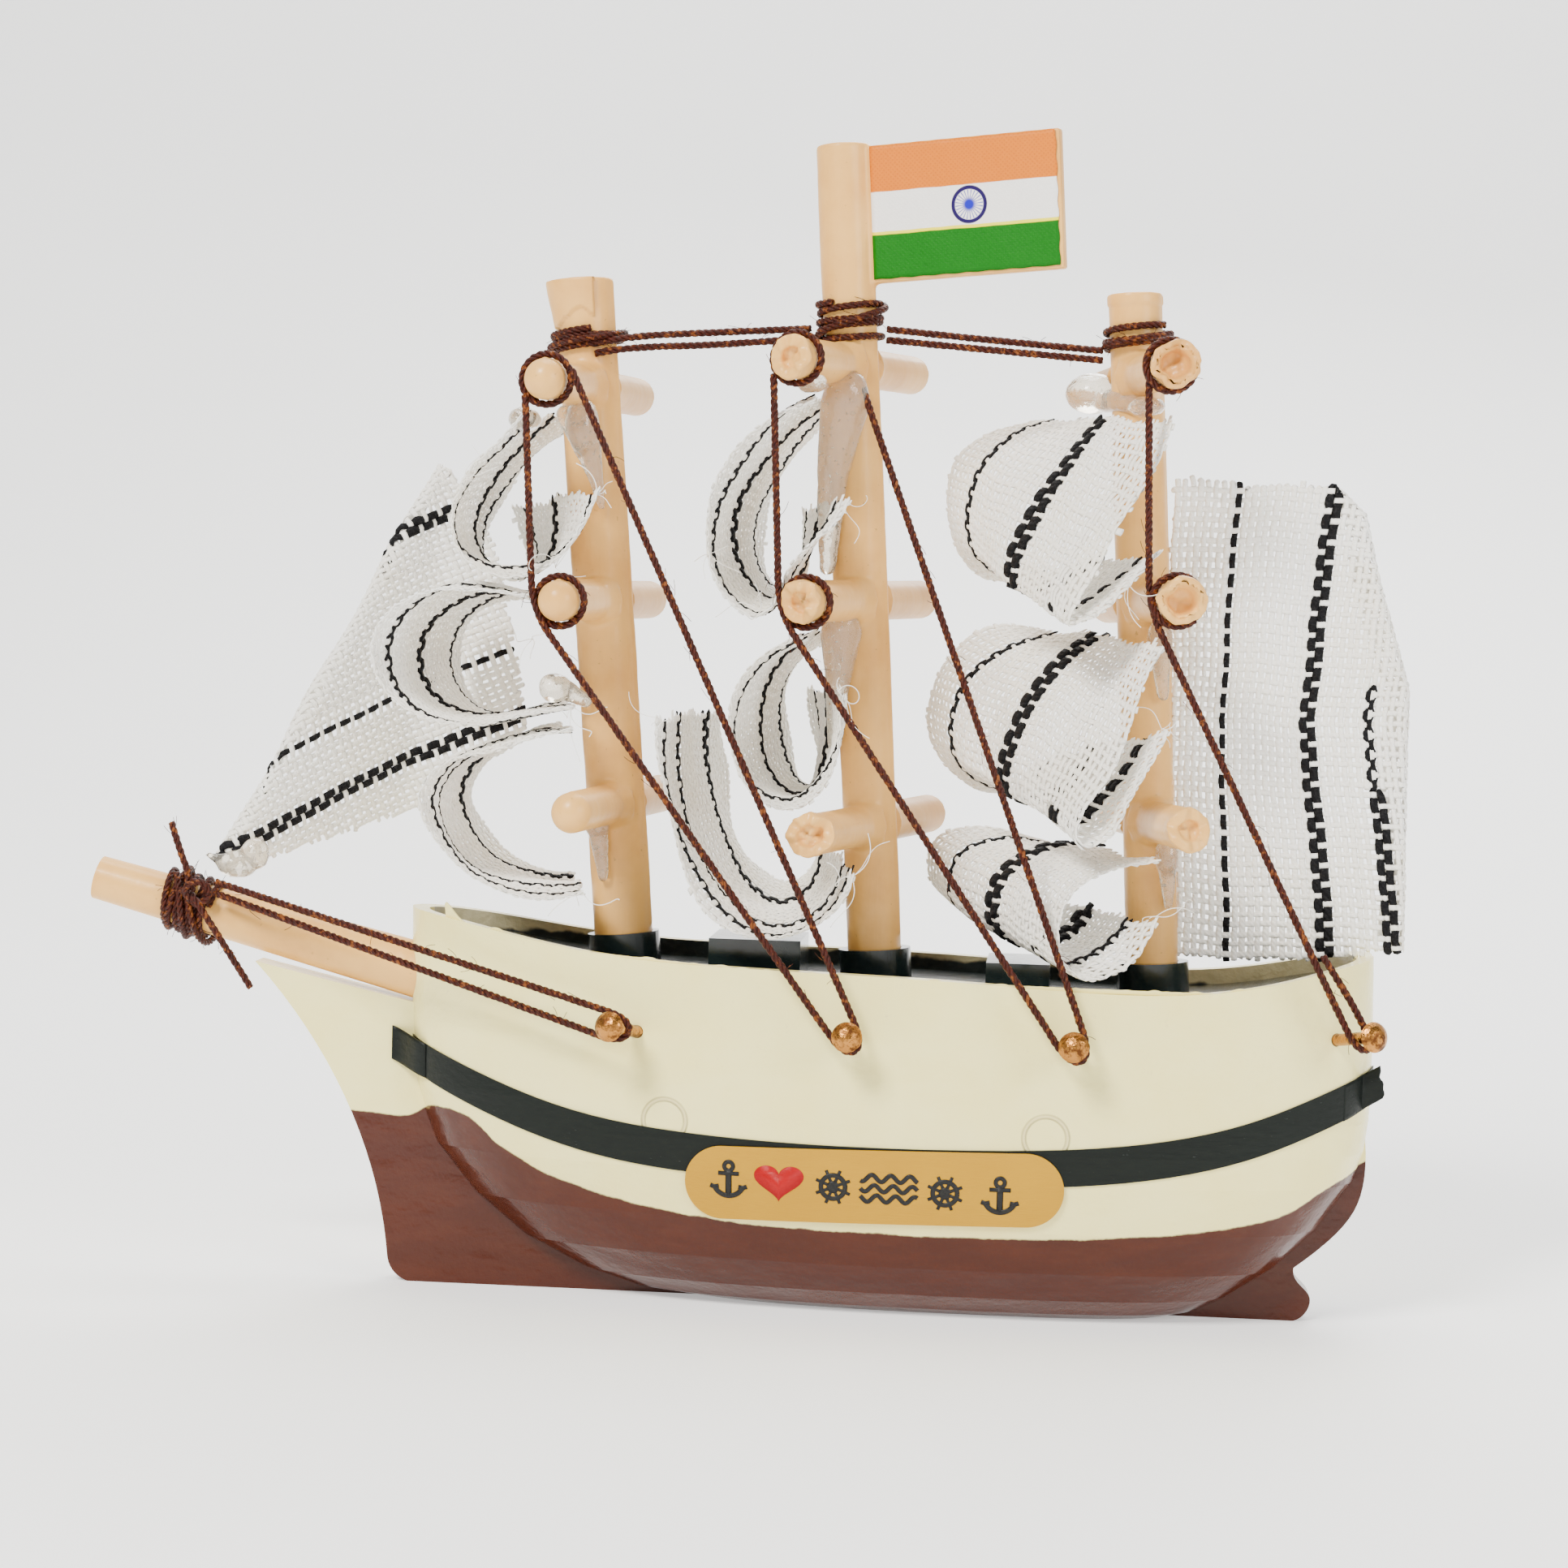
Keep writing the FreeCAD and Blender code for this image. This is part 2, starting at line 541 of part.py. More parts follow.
def wrap(centre, radius, axis):
    """One closed turn of thread round a post or yard of the given radius."""
    return Part.makeTorus(radius + THREAD / 2 + 0.02, THREAD / 2, centre, axis)


def placed(name, point):
    return mast_place(name).multVec(Vector(*point))


def turned(name, direction):
    return mast_place(name).Rotation.multVec(Vector(*direction))


for line_name, route in ROUTES.items():
    print(line_name)
    add_shape(line_name, thread_tube(route))

# loops round the near ends of the two upper yards, and lashings round the mast heads
LOOP_ALONG = -13.85
LASHINGS = {"fore": (53.1, 54.0), "main": (54.1, 55.0, 55.9, 56.8), "mizzen": (53.9, 54.8)}
for name, mast in MASTS.items():
    loops = [wrap(placed(name, (0, LOOP_ALONG, height)), size("yard_dia") / 2, turned(name, (0, 1, 0)))
             for height in mast["yards"][:2]]
    add_shape(name + "_yard_loops", Part.makeCompound(loops))
    turns = [wrap(placed(name, (0, 0, height)), size(name + "_mast_dia") / 2, turned(name, (0, 0, 1)))
             for height in LASHINGS[name]]
    add_shape(name + "_head_lashing", Part.makeCompound(turns))

# double stays between the mast heads
STAYS = {
    "fore_top_stay": [((-19.1, -0.9, 79.6), (-3.8, -0.3, 80.6)), ((-19.1, -1.2, 78.7), (-3.8, -0.6, 79.7))],
    "aft_top_stay": [((2.6, -1.2, 80.6), (20.3, -1.5, 79.4)), ((2.6, -1.4, 79.7), (20.3, -1.7, 78.5))],
}


def straight_thread(start, end):
    run = Vector(*end) - Vector(*start)
    return Part.makeCylinder(THREAD / 2, run.Length, Vector(*start), run)


for stay_name, strands in STAYS.items():
    add_shape(stay_name, Part.makeCompound([straight_thread(start, end) for start, end in strands]))

# lashing round the bowsprit with two loose tails
LASH_TURNS, LASH_START, LASH_PITCH = 5, 6.6, 0.86
TAILS = [[(-54.6, -3.3, 33.9), (-55.3, -3.6, 36.0), (-56.1, -3.4, 38.2)],
         [(-53.4, -3.4, 31.0), (-51.6, -3.9, 28.4), (-49.0, -3.7, 24.6)]]
peg_run = (BOWSPRIT_ROOT - BOWSPRIT_TIP).normalize()
peg_slope = (size("bowsprit_root") - size("bowsprit_tip")) / 2 / (BOWSPRIT_ROOT - BOWSPRIT_TIP).Length
lash = []
for turn_index in range(LASH_TURNS):
    reach = LASH_START + turn_index * LASH_PITCH
    lash.append(wrap(BOWSPRIT_TIP + peg_run * reach, size("bowsprit_tip") / 2 + peg_slope * reach, peg_run))
print("bowsprit_lashing")
lash += [thread_tube(tail) for tail in TAILS]
add_shape("bowsprit_lashing", Part.makeCompound(lash))

# ---------------------------------------------------------------- hot glue
# centre and radii of each drop in the frame of its mast
DROPS = {
    "fore": [((0.4, -4.4, 45.6), (1.3, 1.9, 3.6)), ((-3.4, -3.4, 24.9), (1.2, 1.7, 1.2)),
             ((-0.8, -3.3, 12.4), (1.2, 1.3, 3.2))],
    "main": [((0.6, -3.3, 48.8), (1.7, 1.7, 3.2)), ((-1.0, -3.3, 29.4), (1.4, 1.5, 2.6))],
    "mizzen": [((-3.2, 2.6, 50.4), (1.7, 2.2, 1.5)), ((0.7, -3.1, 28.9), (1.1, 1.2, 2.8)),
               ((0.8, -3.0, 11.0), (1.0, 1.2, 2.6))],
}


def drop_shape(centre, radii):
    """A glue drop: a stretched ball."""
    ball = Part.makeSphere(1.0)
    stretch = FreeCAD.Matrix()
    stretch.scale(Vector(*radii))
    ball = ball.transformGeometry(stretch)
    ball.translate(Vector(*centre))
    return ball


def shape_of(name):
    return doc.getObject(name).Shape


def largest(shape):
    return max(shape.Solids, key=lambda solid: solid.Volume)


def glue(name, centre_radii, neighbours, place=None):
    drops = []
    for centre, radii in centre_radii:
        drop = drop_shape(centre, radii)
        if place is not None:
            drop.Placement = place * drop.Placement
        for neighbour in neighbours:
            drop = drop.cut(shape_of(neighbour))
        drops.append(largest(drop))
    add_shape(name, Part.makeCompound(drops))


for name in MASTS:
    touching = [name + "_mast", name + "_head_lashing", name + "_line"] + [sail for sail in SAILS if sail.startswith(name)]
    glue(name + "_glue", DROPS[name], touching, mast_place(name))
glue("bowsprit_glue", [((-51.4, -0.2, 34.4), (1.5, 1.7, 1.5))], ["bowsprit", "jib_sail", "bowsprit_line"])

# ---------------------------------------------------------------- files
doc.recompute()
KINDS = ("Part::Feature", "Part::Box", "PartDesign::Body")
for item in doc.Objects:
    if "Invalid" in item.State or "Error" in item.State:
        raise RuntimeError("%s did not build: %s" % (item.Label, item.State))
subparts = [item for item in doc.Objects if item.TypeId in KINDS]
for item in subparts:
    if item.Shape.isNull() or not item.Shape.isValid():
        raise RuntimeError(item.Label + " has no valid shape")
for item in subparts:
    item.Shape.exportStep("parts/%s.step" % item.Label)
print("%d sub-parts written" % len(subparts))
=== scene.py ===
"""Small souvenir sailing ship: moulded hull, peach masts, woven gauze sails, twisted thread rigging."""
import bpy
import bmesh
import math

import numpy as np
from mathutils import Matrix, Vector, noise
from mathutils.bvhtree import BVHTree


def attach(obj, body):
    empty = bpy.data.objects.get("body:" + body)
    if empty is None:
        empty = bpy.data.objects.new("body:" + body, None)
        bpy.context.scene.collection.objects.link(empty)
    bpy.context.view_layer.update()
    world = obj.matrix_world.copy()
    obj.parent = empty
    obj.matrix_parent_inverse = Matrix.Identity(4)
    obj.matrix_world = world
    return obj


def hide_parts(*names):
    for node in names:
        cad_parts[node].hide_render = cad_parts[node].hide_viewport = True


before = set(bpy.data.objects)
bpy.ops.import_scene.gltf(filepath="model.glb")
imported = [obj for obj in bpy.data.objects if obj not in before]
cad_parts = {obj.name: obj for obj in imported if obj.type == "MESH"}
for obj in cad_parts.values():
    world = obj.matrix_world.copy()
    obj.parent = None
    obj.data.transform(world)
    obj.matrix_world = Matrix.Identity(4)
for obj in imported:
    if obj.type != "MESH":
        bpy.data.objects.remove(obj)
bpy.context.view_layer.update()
MM = 0.001


# ---------------------------------------------------------------- shader helpers
class Value:
    """A number that changes over a surface; arithmetic on it adds Math nodes."""

    def __init__(self, finish, socket):
        self.finish, self.socket = finish, socket

    def calc(self, operation, *others):
        return self.finish.math(operation, self, *others)

    def __add__(self, other):
        return self.calc("ADD", other)

    def __sub__(self, other):
        return self.calc("SUBTRACT", other)

    def __rsub__(self, other):
        return self.finish.math("SUBTRACT", other, self)

    def __mul__(self, other):
        return self.calc("MULTIPLY", other)

    def __truediv__(self, other):
        return self.calc("DIVIDE", other)

    def __pow__(self, other):
        return self.calc("POWER", other)

    def __gt__(self, other):
        return self.calc("GREATER_THAN", other)

    def __lt__(self, other):
        return self.calc("LESS_THAN", other)

    def __abs__(self):
        return self.calc("ABSOLUTE")

    __radd__ = __add__
    __rmul__ = __mul__

    def smooth(self, low, high):
        """0 below low, 1 above high, eased between."""
        return self.finish.smooth(self, low, high)

    def wave(self):
        return self.calc("SINE")

    def most(self, other):
        return self.calc("MAXIMUM", other)


class Finish:
    """A material and the nodes that feed its Principled shader."""

    def __init__(self, name, **fixed):
        self.material = bpy.data.materials.new(name)
        self.material.use_nodes = True
        self.tree = self.material.node_tree
        self.shader = next(n for n in self.tree.nodes if n.type == "BSDF_PRINCIPLED")
        for socket, value in fixed.items():
            self.shader.inputs[socket.replace("_", " ")].default_value = value
        self.material.diffuse_color = self.shader.inputs["Base Color"].default_value

    def add(self, kind, settings=None, inputs=None):
        """Any node: its settings first, then the values or links of its sockets."""
        node = self.tree.nodes.new("ShaderNode" + kind)
        for key, value in (settings or {}).items():
            setattr(node, key, value)
        for key, value in (inputs or {}).items():
            self.feed(node.inputs[key], value)
        return node

    def feed(self, socket, value):
        if isinstance(value, Value):
            value = value.socket
        if isinstance(value, bpy.types.NodeSocket):
            self.tree.links.new(value, socket)
        else:
            socket.default_value = value

    def math(self, operation, *terms):
        node = self.add("Math", {"operation": operation}, dict(enumerate(terms)))
        return Value(self, node.outputs[0])

    def smooth(self, value, low, high):
        node = self.add("MapRange", {"interpolation_type": "SMOOTHSTEP"}, {0: value, 1: low, 2: high})
        return Value(self, node.outputs[0])

    def place(self):
        """Object coordinates in millimetres."""
        return self.stretch(self.add("TexCoord").outputs["Object"], (1000.0, 1000.0, 1000.0))

    def uv(self):
        return self.add("UVMap", {"uv_map": "cloth"}).outputs[0]

    def split(self, vector):
        node = self.add("SeparateXYZ", {}, {0: vector})
        return [Value(self, output) for output in node.outputs]

    def noise(self, vector, scale, detail=3.0, roughness=0.5):
        node = self.add("TexNoise", {}, {"Vector": vector, "Scale": scale, "Detail": detail,
                                         "Roughness": roughness})
        return Value(self, node.outputs[0])

    def stretch(self, vector, scale):
        return self.add("Mapping", {}, {"Vector": vector, "Scale": scale}).outputs[0]

    def mix(self, factor, low, high):
        node = self.add("Mix", {"data_type": "RGBA"}, {0: factor, 6: low, 7: high})
        return node.outputs[2]

    def colour(self, value):
        self.feed(self.shader.inputs["Base Color"], value)

    def rough(self, value):
        self.feed(self.shader.inputs["Roughness"], value)

    def relief(self, height, depth, under=None):
        """A bump of the given depth in millimetres."""
        inputs = {"Height": height, "Distance": depth * MM, "Strength": 1.0}
        if under is not None:
            inputs["Normal"] = under
        bump = self.add("Bump", {}, inputs)
        self.feed(self.shader.inputs["Normal"], bump.outputs[0])
        return bump.outputs[0]


def rgb(red, green, blue):
    return (red, green, blue, 1.0)


# ---------------------------------------------------------------- finishes
def moulded_plastic(name, base, deep, roughness, coat=0.25):
    """Glossy moulded plastic with faint clouds, flow marks and dark specks."""
    finish = Finish(name, Coat_Weight=coat, Coat_Roughness=0.12, Specular_IOR_Level=0.3)
    at = finish.place()
    clouds = finish.noise(at, 0.16, 4.0, 0.6)
    specks = finish.noise(at, 2.2, 2.0, 0.5).smooth(0.70, 0.78)
    streaks = finish.noise(finish.stretch(at, (1.0, 1.0, 0.12)), 1.1, 3.0)
    tone = finish.mix(clouds.smooth(0.35, 0.75), rgb(*base), rgb(*deep))
    dirt = tuple(part * 0.45 for part in deep)
    finish.colour(finish.mix(specks * 0.45, tone, rgb(*dirt)))
    finish.rough(roughness + 0.16 * clouds + 0.10 * streaks - 0.10)
    finish.relief(0.6 * streaks + 0.4 * finish.noise(at, 0.9, 4.0), 0.10)
    return finish.material


# paint line between cream topsides and brown bottom: x and height
PAINT_LINE = [(-50, 14.6), (-40, 14.2), (-36.2, 14.0), (-32.7, 15.3), (-27, 12.6), (-20.6, 9.9), (-9, 7.9),
              (8, 7.4), (25, 7.9), (35, 9.2), (41, 12.1), (46, 14.4)]
PAINT_FROM, PAINT_LONG, PAINT_TALL = -50, 96, 20
# centres of the round moulding marks on the port side, and the radius of their rings
EJECTOR_MARKS, EJECTOR_RADIUS = [(-13.0, 15.9), (17.8, 15.9)], 1.75


def hull_paint():
    """Cream gloss over a brown bottom: a hand-masked edge, stains near the rim, moulding marks to port."""
    finish = Finish("hull_paint", Coat_Weight=0.22, Coat_Roughness=0.06, Specular_IOR_Level=0.22)
    at = finish.place()
    x, y, z = finish.split(at)
    wobble = finish.noise(at, 0.35, 3.0) - 0.5
    fine = finish.noise(at, 3.2, 3.0) - 0.5
    curve = finish.add("FloatCurve", {}, {"Value": (x - PAINT_FROM) / PAINT_LONG})
    points = curve.mapping.curves[0].points
    line = [((px - PAINT_FROM) / PAINT_LONG, pz / PAINT_TALL) for px, pz in PAINT_LINE]
    for place in line[1:-1]:
        points.new(*place)
    points[0].location, points[len(points) - 1].location = line[0], line[-1]
    curve.mapping.update()
    edge = Value(finish, curve.outputs[0]) * PAINT_TALL
    above = (z - edge + 0.5 * wobble + 0.12 * fine).smooth(-0.09, 0.09)
    clouds = finish.noise(at, 0.12, 4.0, 0.6)
    cream = finish.mix(clouds.smooth(0.3, 0.8), rgb(0.96, 0.87, 0.38), rgb(0.93, 0.81, 0.31))
    thin = finish.noise(finish.stretch(at, (0.25, 1.0, 1.0)), 0.5, 4.0, 0.65)
    brown = finish.mix(thin.smooth(0.35, 0.75), rgb(0.052, 0.0075, 0.0008), rgb(0.066, 0.011, 0.0016))
    scuff = finish.noise(finish.stretch(at, (0.5, 0.5, 2.4)), 1.6, 5.0, 0.7).smooth(0.66, 0.72)
    brown = finish.mix(scuff * 0.06, brown, rgb(0.18, 0.055, 0.016))
    colour = finish.mix(above, brown, cream)
    stain = (finish.noise(at, 1.1, 4.0, 0.7).smooth(0.62, 0.74)) * (z > 20.0) * 0.16
    colour = finish.mix(stain, colour, rgb(0.55, 0.42, 0.26))
    dents = 0.0 * x
    for mark_x, mark_z in EJECTOR_MARKS:
        off = ((x - mark_x) ** 2 + (z - mark_z) ** 2) ** 0.5
        mark = 1 - abs(off - EJECTOR_RADIUS).smooth(0.05, 0.26)
        dents = dents + mark * (y < 0)
    colour = finish.mix(dents * 0.42, colour, rgb(0.55, 0.45, 0.24))
    finish.colour(colour)
    finish.rough(0.18 + 0.12 * finish.noise(at, 0.6, 5.0, 0.65))
    ripples = finish.noise(finish.stretch(at, (0.5, 1.0, 1.0)), 0.28, 3.0)
    under = finish.relief(ripples, 0.35)
    finish.relief(dents * 0.9 + 0.18 * finish.noise(at, 2.6, 4.0) + above * 0.35, 0.22, under)
    return finish.material


def inside_paint():
    """The inner face of the bulwark: black overspray low down, cream above painted darker as shade."""
    finish = Finish("inside_paint", Coat_Weight=0.15)
    at = finish.place()
    x, _, z = finish.split(at)
    wobble = finish.noise(at, 0.45, 4.0) - 0.5
    above = (z + x * 0.050 - 28.1 + 1.2 * wobble).smooth(-0.2, 0.2)
    # painted shade: the cream above the overspray is painted darker than the outer cream, for the shade inside
    # the bulwark
    shaded_cream = finish.mix(finish.noise(at, 0.9, 3.0), rgb(0.50, 0.45, 0.27), rgb(0.36, 0.33, 0.20))
    finish.colour(finish.mix(above, rgb(0.008, 0.012, 0.011), shaded_cream))
    finish.rough(0.34 + 0.2 * wobble)
    finish.relief(finish.noise(at, 1.4, 4.0), 0.12)
    return finish.material


def dark_tape():
    """Black tape with a faint grain along it and fine grey scratches."""
    finish = Finish("dark_tape", Specular_IOR_Level=0.15)
    at = finish.place()
    grain = finish.noise(finish.stretch(at, (0.15, 1, 1)), 2.4, 4.0)
    scratches = finish.noise(finish.stretch(at, (0.9, 0.9, 7.0)), 1.7, 4.0, 0.7).smooth(0.68, 0.73)
    base = finish.mix(grain, rgb(0.004, 0.006, 0.005), rgb(0.008, 0.011, 0.009))
    finish.colour(finish.mix(scratches * 0.4, base, rgb(0.16, 0.18, 0.18)))
    finish.rough(0.30 + 0.25 * grain)
    finish.relief(grain + scratches * 0.4, 0.05)
    return finish.material


def gold_foil():
    """Gold foil, brushed along its length, with faint clouds."""
    finish = Finish("gold_foil", Metallic=0.10, Specular_IOR_Level=0.3)
    at = finish.place()
    brushed = finish.noise(finish.stretch(at, (0.05, 1.0, 1.0)), 9.0, 4.0, 0.6)
    clouds = finish.noise(at, 0.22, 3.0)
    base = finish.mix(clouds, rgb(0.42, 0.20, 0.0), rgb(0.49, 0.25, 0.0))
    finish.colour(finish.mix(brushed * 0.3, base, rgb(0.62, 0.36, 0.01)))
    finish.rough(0.30 + 0.25 * brushed)
    finish.relief(brushed, 0.03)
    return finish.material


def ink(name, colour):
    finish = Finish(name, Specular_IOR_Level=0.25)
    at = finish.place()
    grain = finish.noise(at, 6.0, 3.0)
    finish.colour(finish.mix(grain * 0.5, rgb(*colour), rgb(*(part * 0.6 for part in colour))))
    finish.rough(0.36 + 0.2 * grain)
    finish.relief(grain, 0.02)
    return finish.material


def brass():
    """Bright brass with darker tarnished spots."""
    finish = Finish("tarnished_brass", Metallic=1.0)
    at = finish.place()
    spots = finish.noise(at, 1.3, 5.0, 0.65)
    base = finish.mix(spots.smooth(0.45, 0.62), rgb(0.46, 0.20, 0.045), rgb(0.12, 0.045, 0.014))
    finish.colour(base)
    finish.rough(0.22 + 0.35 * spots.smooth(0.4, 0.7))
    finish.relief(finish.noise(at, 3.4, 4.0), 0.08)
    return finish.material


def cotton():
    """Bleached cotton yarn with a faint painted glow for light shining through the gauze; the cloth map runs
    along and across the sail in millimetres.
    """
    # painted light: the faint emission makes the yarn glow as though lit through the gauze
    finish = Finish("bleached_cotton", Emission_Color=rgb(1.0, 0.98, 0.94), Emission_Strength=0.05,
                    Specular_IOR_Level=0.2)
    at = finish.place()
    fibres = finish.noise(at, 7.0, 3.0, 0.6)
    yarn = finish.noise(finish.stretch(finish.uv(), (0.05, 1.3, 1.0)), 1.0, 2.0)
    aged = finish.noise(at, 0.10, 4.0, 0.6)
    base = finish.mix(aged.smooth(0.35, 0.7), rgb(0.94, 0.925, 0.875), rgb(0.91, 0.875, 0.78))
    base = finish.mix(yarn.smooth(0.45, 0.8) * 0.35, base, rgb(0.93, 0.92, 0.89))
    finish.colour(finish.mix(fibres.smooth(0.25, 0.5) * -0.30 + 0.30, base, rgb(0.66, 0.58, 0.44)))
    finish.rough(0.78 + 0.18 * fibres)
    x, y, z = finish.split(at)
    finish.relief(fibres * 0.7 + 0.3 * ((x + y + z) * 14.0).wave(), 0.05)
    return finish.material


def black_yarn():
    finish = Finish("black_yarn", Specular_IOR_Level=0.15)
    at = finish.place()
    x, y, z = finish.split(at)
    fibres = finish.noise(at, 6.0, 3.0, 0.65)
    finish.colour(finish.mix(fibres.smooth(0.45, 0.75), rgb(0.004, 0.004, 0.005), rgb(0.020, 0.019, 0.020)))
    finish.rough(0.55 + 0.3 * fibres)
    finish.relief(((x + y + z) * 9.0).wave() * 0.4 + fibres, 0.10)
    return finish.material


def waxed_thread():
    """Twisted brown waxed thread with light flecks painted on as highlights of its twist."""
    finish = Finish("waxed_thread", Specular_IOR_Level=0.22)
    at = finish.place()
    fibres = finish.noise(at, 5.0, 4.0, 0.7)
    # painted highlights: light gold flecks standing in for glints on the twisted strands
    painted_glints = finish.noise(at, 1.9, 3.0, 0.6).smooth(0.55, 0.64)
    base = finish.mix(fibres.smooth(0.3, 0.75), rgb(0.014, 0.0016, 0.0006), rgb(0.075, 0.009, 0.0018))
    finish.colour(finish.mix(painted_glints * 0.45, base, rgb(0.36, 0.11, 0.018)))
    finish.rough(0.36 + 0.3 * fibres)
    finish.relief(fibres, 0.06)
    return finish.material


def hot_glue():
    """Set clear glue: cloudy inside, glossy outside."""
    finish = Finish("hot_glue", Transmission_Weight=0.84, IOR=1.42, Coat_Weight=0.5, Coat_Roughness=0.05)
    at = finish.place()
    haze = finish.noise(at, 0.7, 4.0, 0.6)
    bubbles = finish.noise(at, 2.4, 1.0).smooth(0.66, 0.70)
    finish.colour(finish.mix(haze, rgb(0.97, 0.92, 0.82), rgb(0.90, 0.80, 0.64)))
    finish.rough(0.10 + 0.22 * haze.smooth(0.4, 0.8) + 0.3 * bubbles)
    finish.relief(finish.noise(at, 0.8, 3.0) + bubbles * 0.4, 0.25)
    return finish.material


# from the mast outwards, and from the lower to the upper edge of the flag, in the frame of the main mast
FLAG_X, FLAG_Z = (2.5, 18.5), (58.7, 69.6)


def flag_print():
    """Three printed bands with a thin yellow line and a blue spoked wheel, in half-tone dots."""
    finish = Finish("flag_print", Specular_IOR_Level=0.2)
    u, v, _ = finish.split(finish.uv())
    at = finish.place()
    grain = finish.noise(at, 4.0, 3.0)
    edge = 0.012 * (finish.noise(at, 0.5, 2.0) - 0.5)
    orange = finish.mix(grain, rgb(0.62, 0.150, 0.0), rgb(0.68, 0.180, 0.0))
    dots = ((u * 260).wave() * (v * 180).wave()).smooth(0.2, 0.6)
    orange = finish.mix(dots * 0.35, orange, rgb(0.46, 0.090, 0.0))
    white = finish.mix(grain * 0.6, rgb(0.90, 0.885, 0.85), rgb(0.78, 0.755, 0.72))
    green = finish.mix(grain, rgb(0.0, 0.105, 0.001), rgb(0.0, 0.140, 0.001))
    colour = finish.mix((v + edge).smooth(0.325, 0.335), green, rgb(0.88, 0.76, 0.01))
    colour = finish.mix((v + edge).smooth(0.350, 0.358), colour, white)
    colour = finish.mix((v - edge).smooth(0.648, 0.656), colour, orange)
    across, up = (u - 0.53) * (FLAG_X[1] - FLAG_X[0]), (v - 0.502) * 10.9
    away = (across ** 2 + up ** 2) ** 0.5
    rim = 1 - abs(away - 1.38).smooth(0.12, 0.20)
    hub = 1 - away.smooth(0.30, 0.80)
    around = finish.math("ARCTAN2", up, across)
    spokes = ((around * 24).wave()).smooth(0.30, 0.75) * (1 - away.smooth(1.15, 1.25))
    wheel = rim.most(hub).most(spokes * 0.85)
    blue = finish.mix(away.smooth(1.1, 1.3), rgb(0.010, 0.008, 0.42), rgb(0.012, 0.002, 0.07))
    finish.colour(finish.mix(wheel, colour, blue))
    finish.rough(0.38 + 0.25 * grain)
    finish.relief(grain + dots * 0.2, 0.03)
    return finish.material


def paper_floor():
    finish = Finish("pale_floor", Roughness=0.75, Emission_Color=rgb(1.0, 1.0, 0.99), Emission_Strength=0.50)
    at = finish.place()
    soft = finish.noise(at, 0.02, 3.0)
    finish.colour(finish.mix(soft, rgb(0.86, 0.86, 0.85), rgb(0.90, 0.90, 0.89)))
    return finish.material


PEACH = moulded_plastic("peach_plastic", (0.82, 0.455, 0.125), (0.70, 0.35, 0.085), 0.36, 0.10)
BLACK = moulded_plastic("black_plastic", (0.006, 0.012, 0.012), (0.014, 0.022, 0.021), 0.20, 0.5)
HULL, TAPE, GOLD, BRASS = hull_paint(), dark_tape(), gold_foil(), brass()
COTTON, BLACK_YARN, THREAD, GLUE = cotton(), black_yarn(), waxed_thread(), hot_glue()
FLAG, INSIDE = flag_print(), inside_paint()
INK_BLACK, INK_RED = ink("black_ink", (0.012, 0.012, 0.012)), ink("red_ink", (0.40, 0.0, 0.003))


# ---------------------------------------------------------------- camera, light and floor
def set_view():
    """The camera: it looks along the ship's beam from the port side, a little from astern and from above."""
    around, above, roll = math.radians(5.0), math.radians(2.9), math.radians(1.6)
    aim = Vector((-5.0, 0.0, 42.9)) * MM
    back = Vector((math.sin(around) * math.cos(above), -math.cos(around) * math.cos(above), math.sin(above)))
    right = (-back).cross(Vector((0, 0, 1))).normalized()
    up = right.cross(-back)
    level, rise = right * math.cos(roll) + up * math.sin(roll), up * math.cos(roll) - right * math.sin(roll)
    data = bpy.data.cameras.new("view")
    data.lens, data.sensor_width, data.clip_start = 79.83, 36.0, 0.01
    camera = bpy.data.objects.new("view", data)
    turn = Matrix((level, rise, back)).transposed().to_4x4()
    camera.matrix_world = Matrix.Translation(aim + back * 0.290) @ turn
    bpy.context.collection.objects.link(camera)
    bpy.context.scene.camera = camera


def soft_light(name, place, aim, size, power, tint=(1.0, 1.0, 1.0)):
    data = bpy.data.lights.new(name, "AREA")
    data.shape, data.size, data.energy, data.color = "DISK", size, power, tint
    light = bpy.data.objects.new(name, data)
    light.location = place
    light.rotation_euler = (Vector(aim) - Vector(place)).to_track_quat("-Z", "Y").to_euler()
    bpy.context.collection.objects.link(light)


def set_studio():
    """Pale surroundings, four soft lights and a wide floor that curves up behind the ship."""
    world = bpy.data.worlds.new("studio")
    world.use_nodes = True
    sky = world.node_tree.nodes["Background"]
    sky.inputs["Color"].default_value, sky.inputs["Strength"].default_value = rgb(1.0, 0.99, 0.97), 0.24
    bpy.context.scene.world = world
    soft_light("key", (-0.22, -0.42, 0.46), (0, 0, 0.04), 0.20, 6.4, (1.0, 0.97, 0.92))
    soft_light("fill", (0.45, -0.35, 0.25), (0, 0, 0.04), 0.30, 2.2)
    soft_light("back", (0.10, 0.45, 0.40), (0, 0, 0.05), 0.30, 2.0)
    soft_light("sweep", (0.0, 0.30, 0.95), (0.0, 0.85, 0.25), 0.60, 9.0)
    bm = bmesh.new()
    wide, start, radius, tall = 30.0, 0.25, 0.6, 2.6
    sweep = [(start + radius * math.sin(turn), radius - radius * math.cos(turn))
             for turn in np.radians(np.arange(0, 91, 5))]
    rows = [[bm.verts.new((side, y, z)) for side in (-wide, wide)]
            for y, z in [(-wide, 0.0), *sweep, (start + radius, tall)]]
    for low, high in zip(rows, rows[1:]):
        bm.faces.new((low[0], low[1], high[1], high[0]))
    mesh = mesh_from(bm, "floor")
    floor = bpy.data.objects.new("floor", mesh)
    mesh.materials.append(paper_floor())
    bpy.context.collection.objects.link(floor)


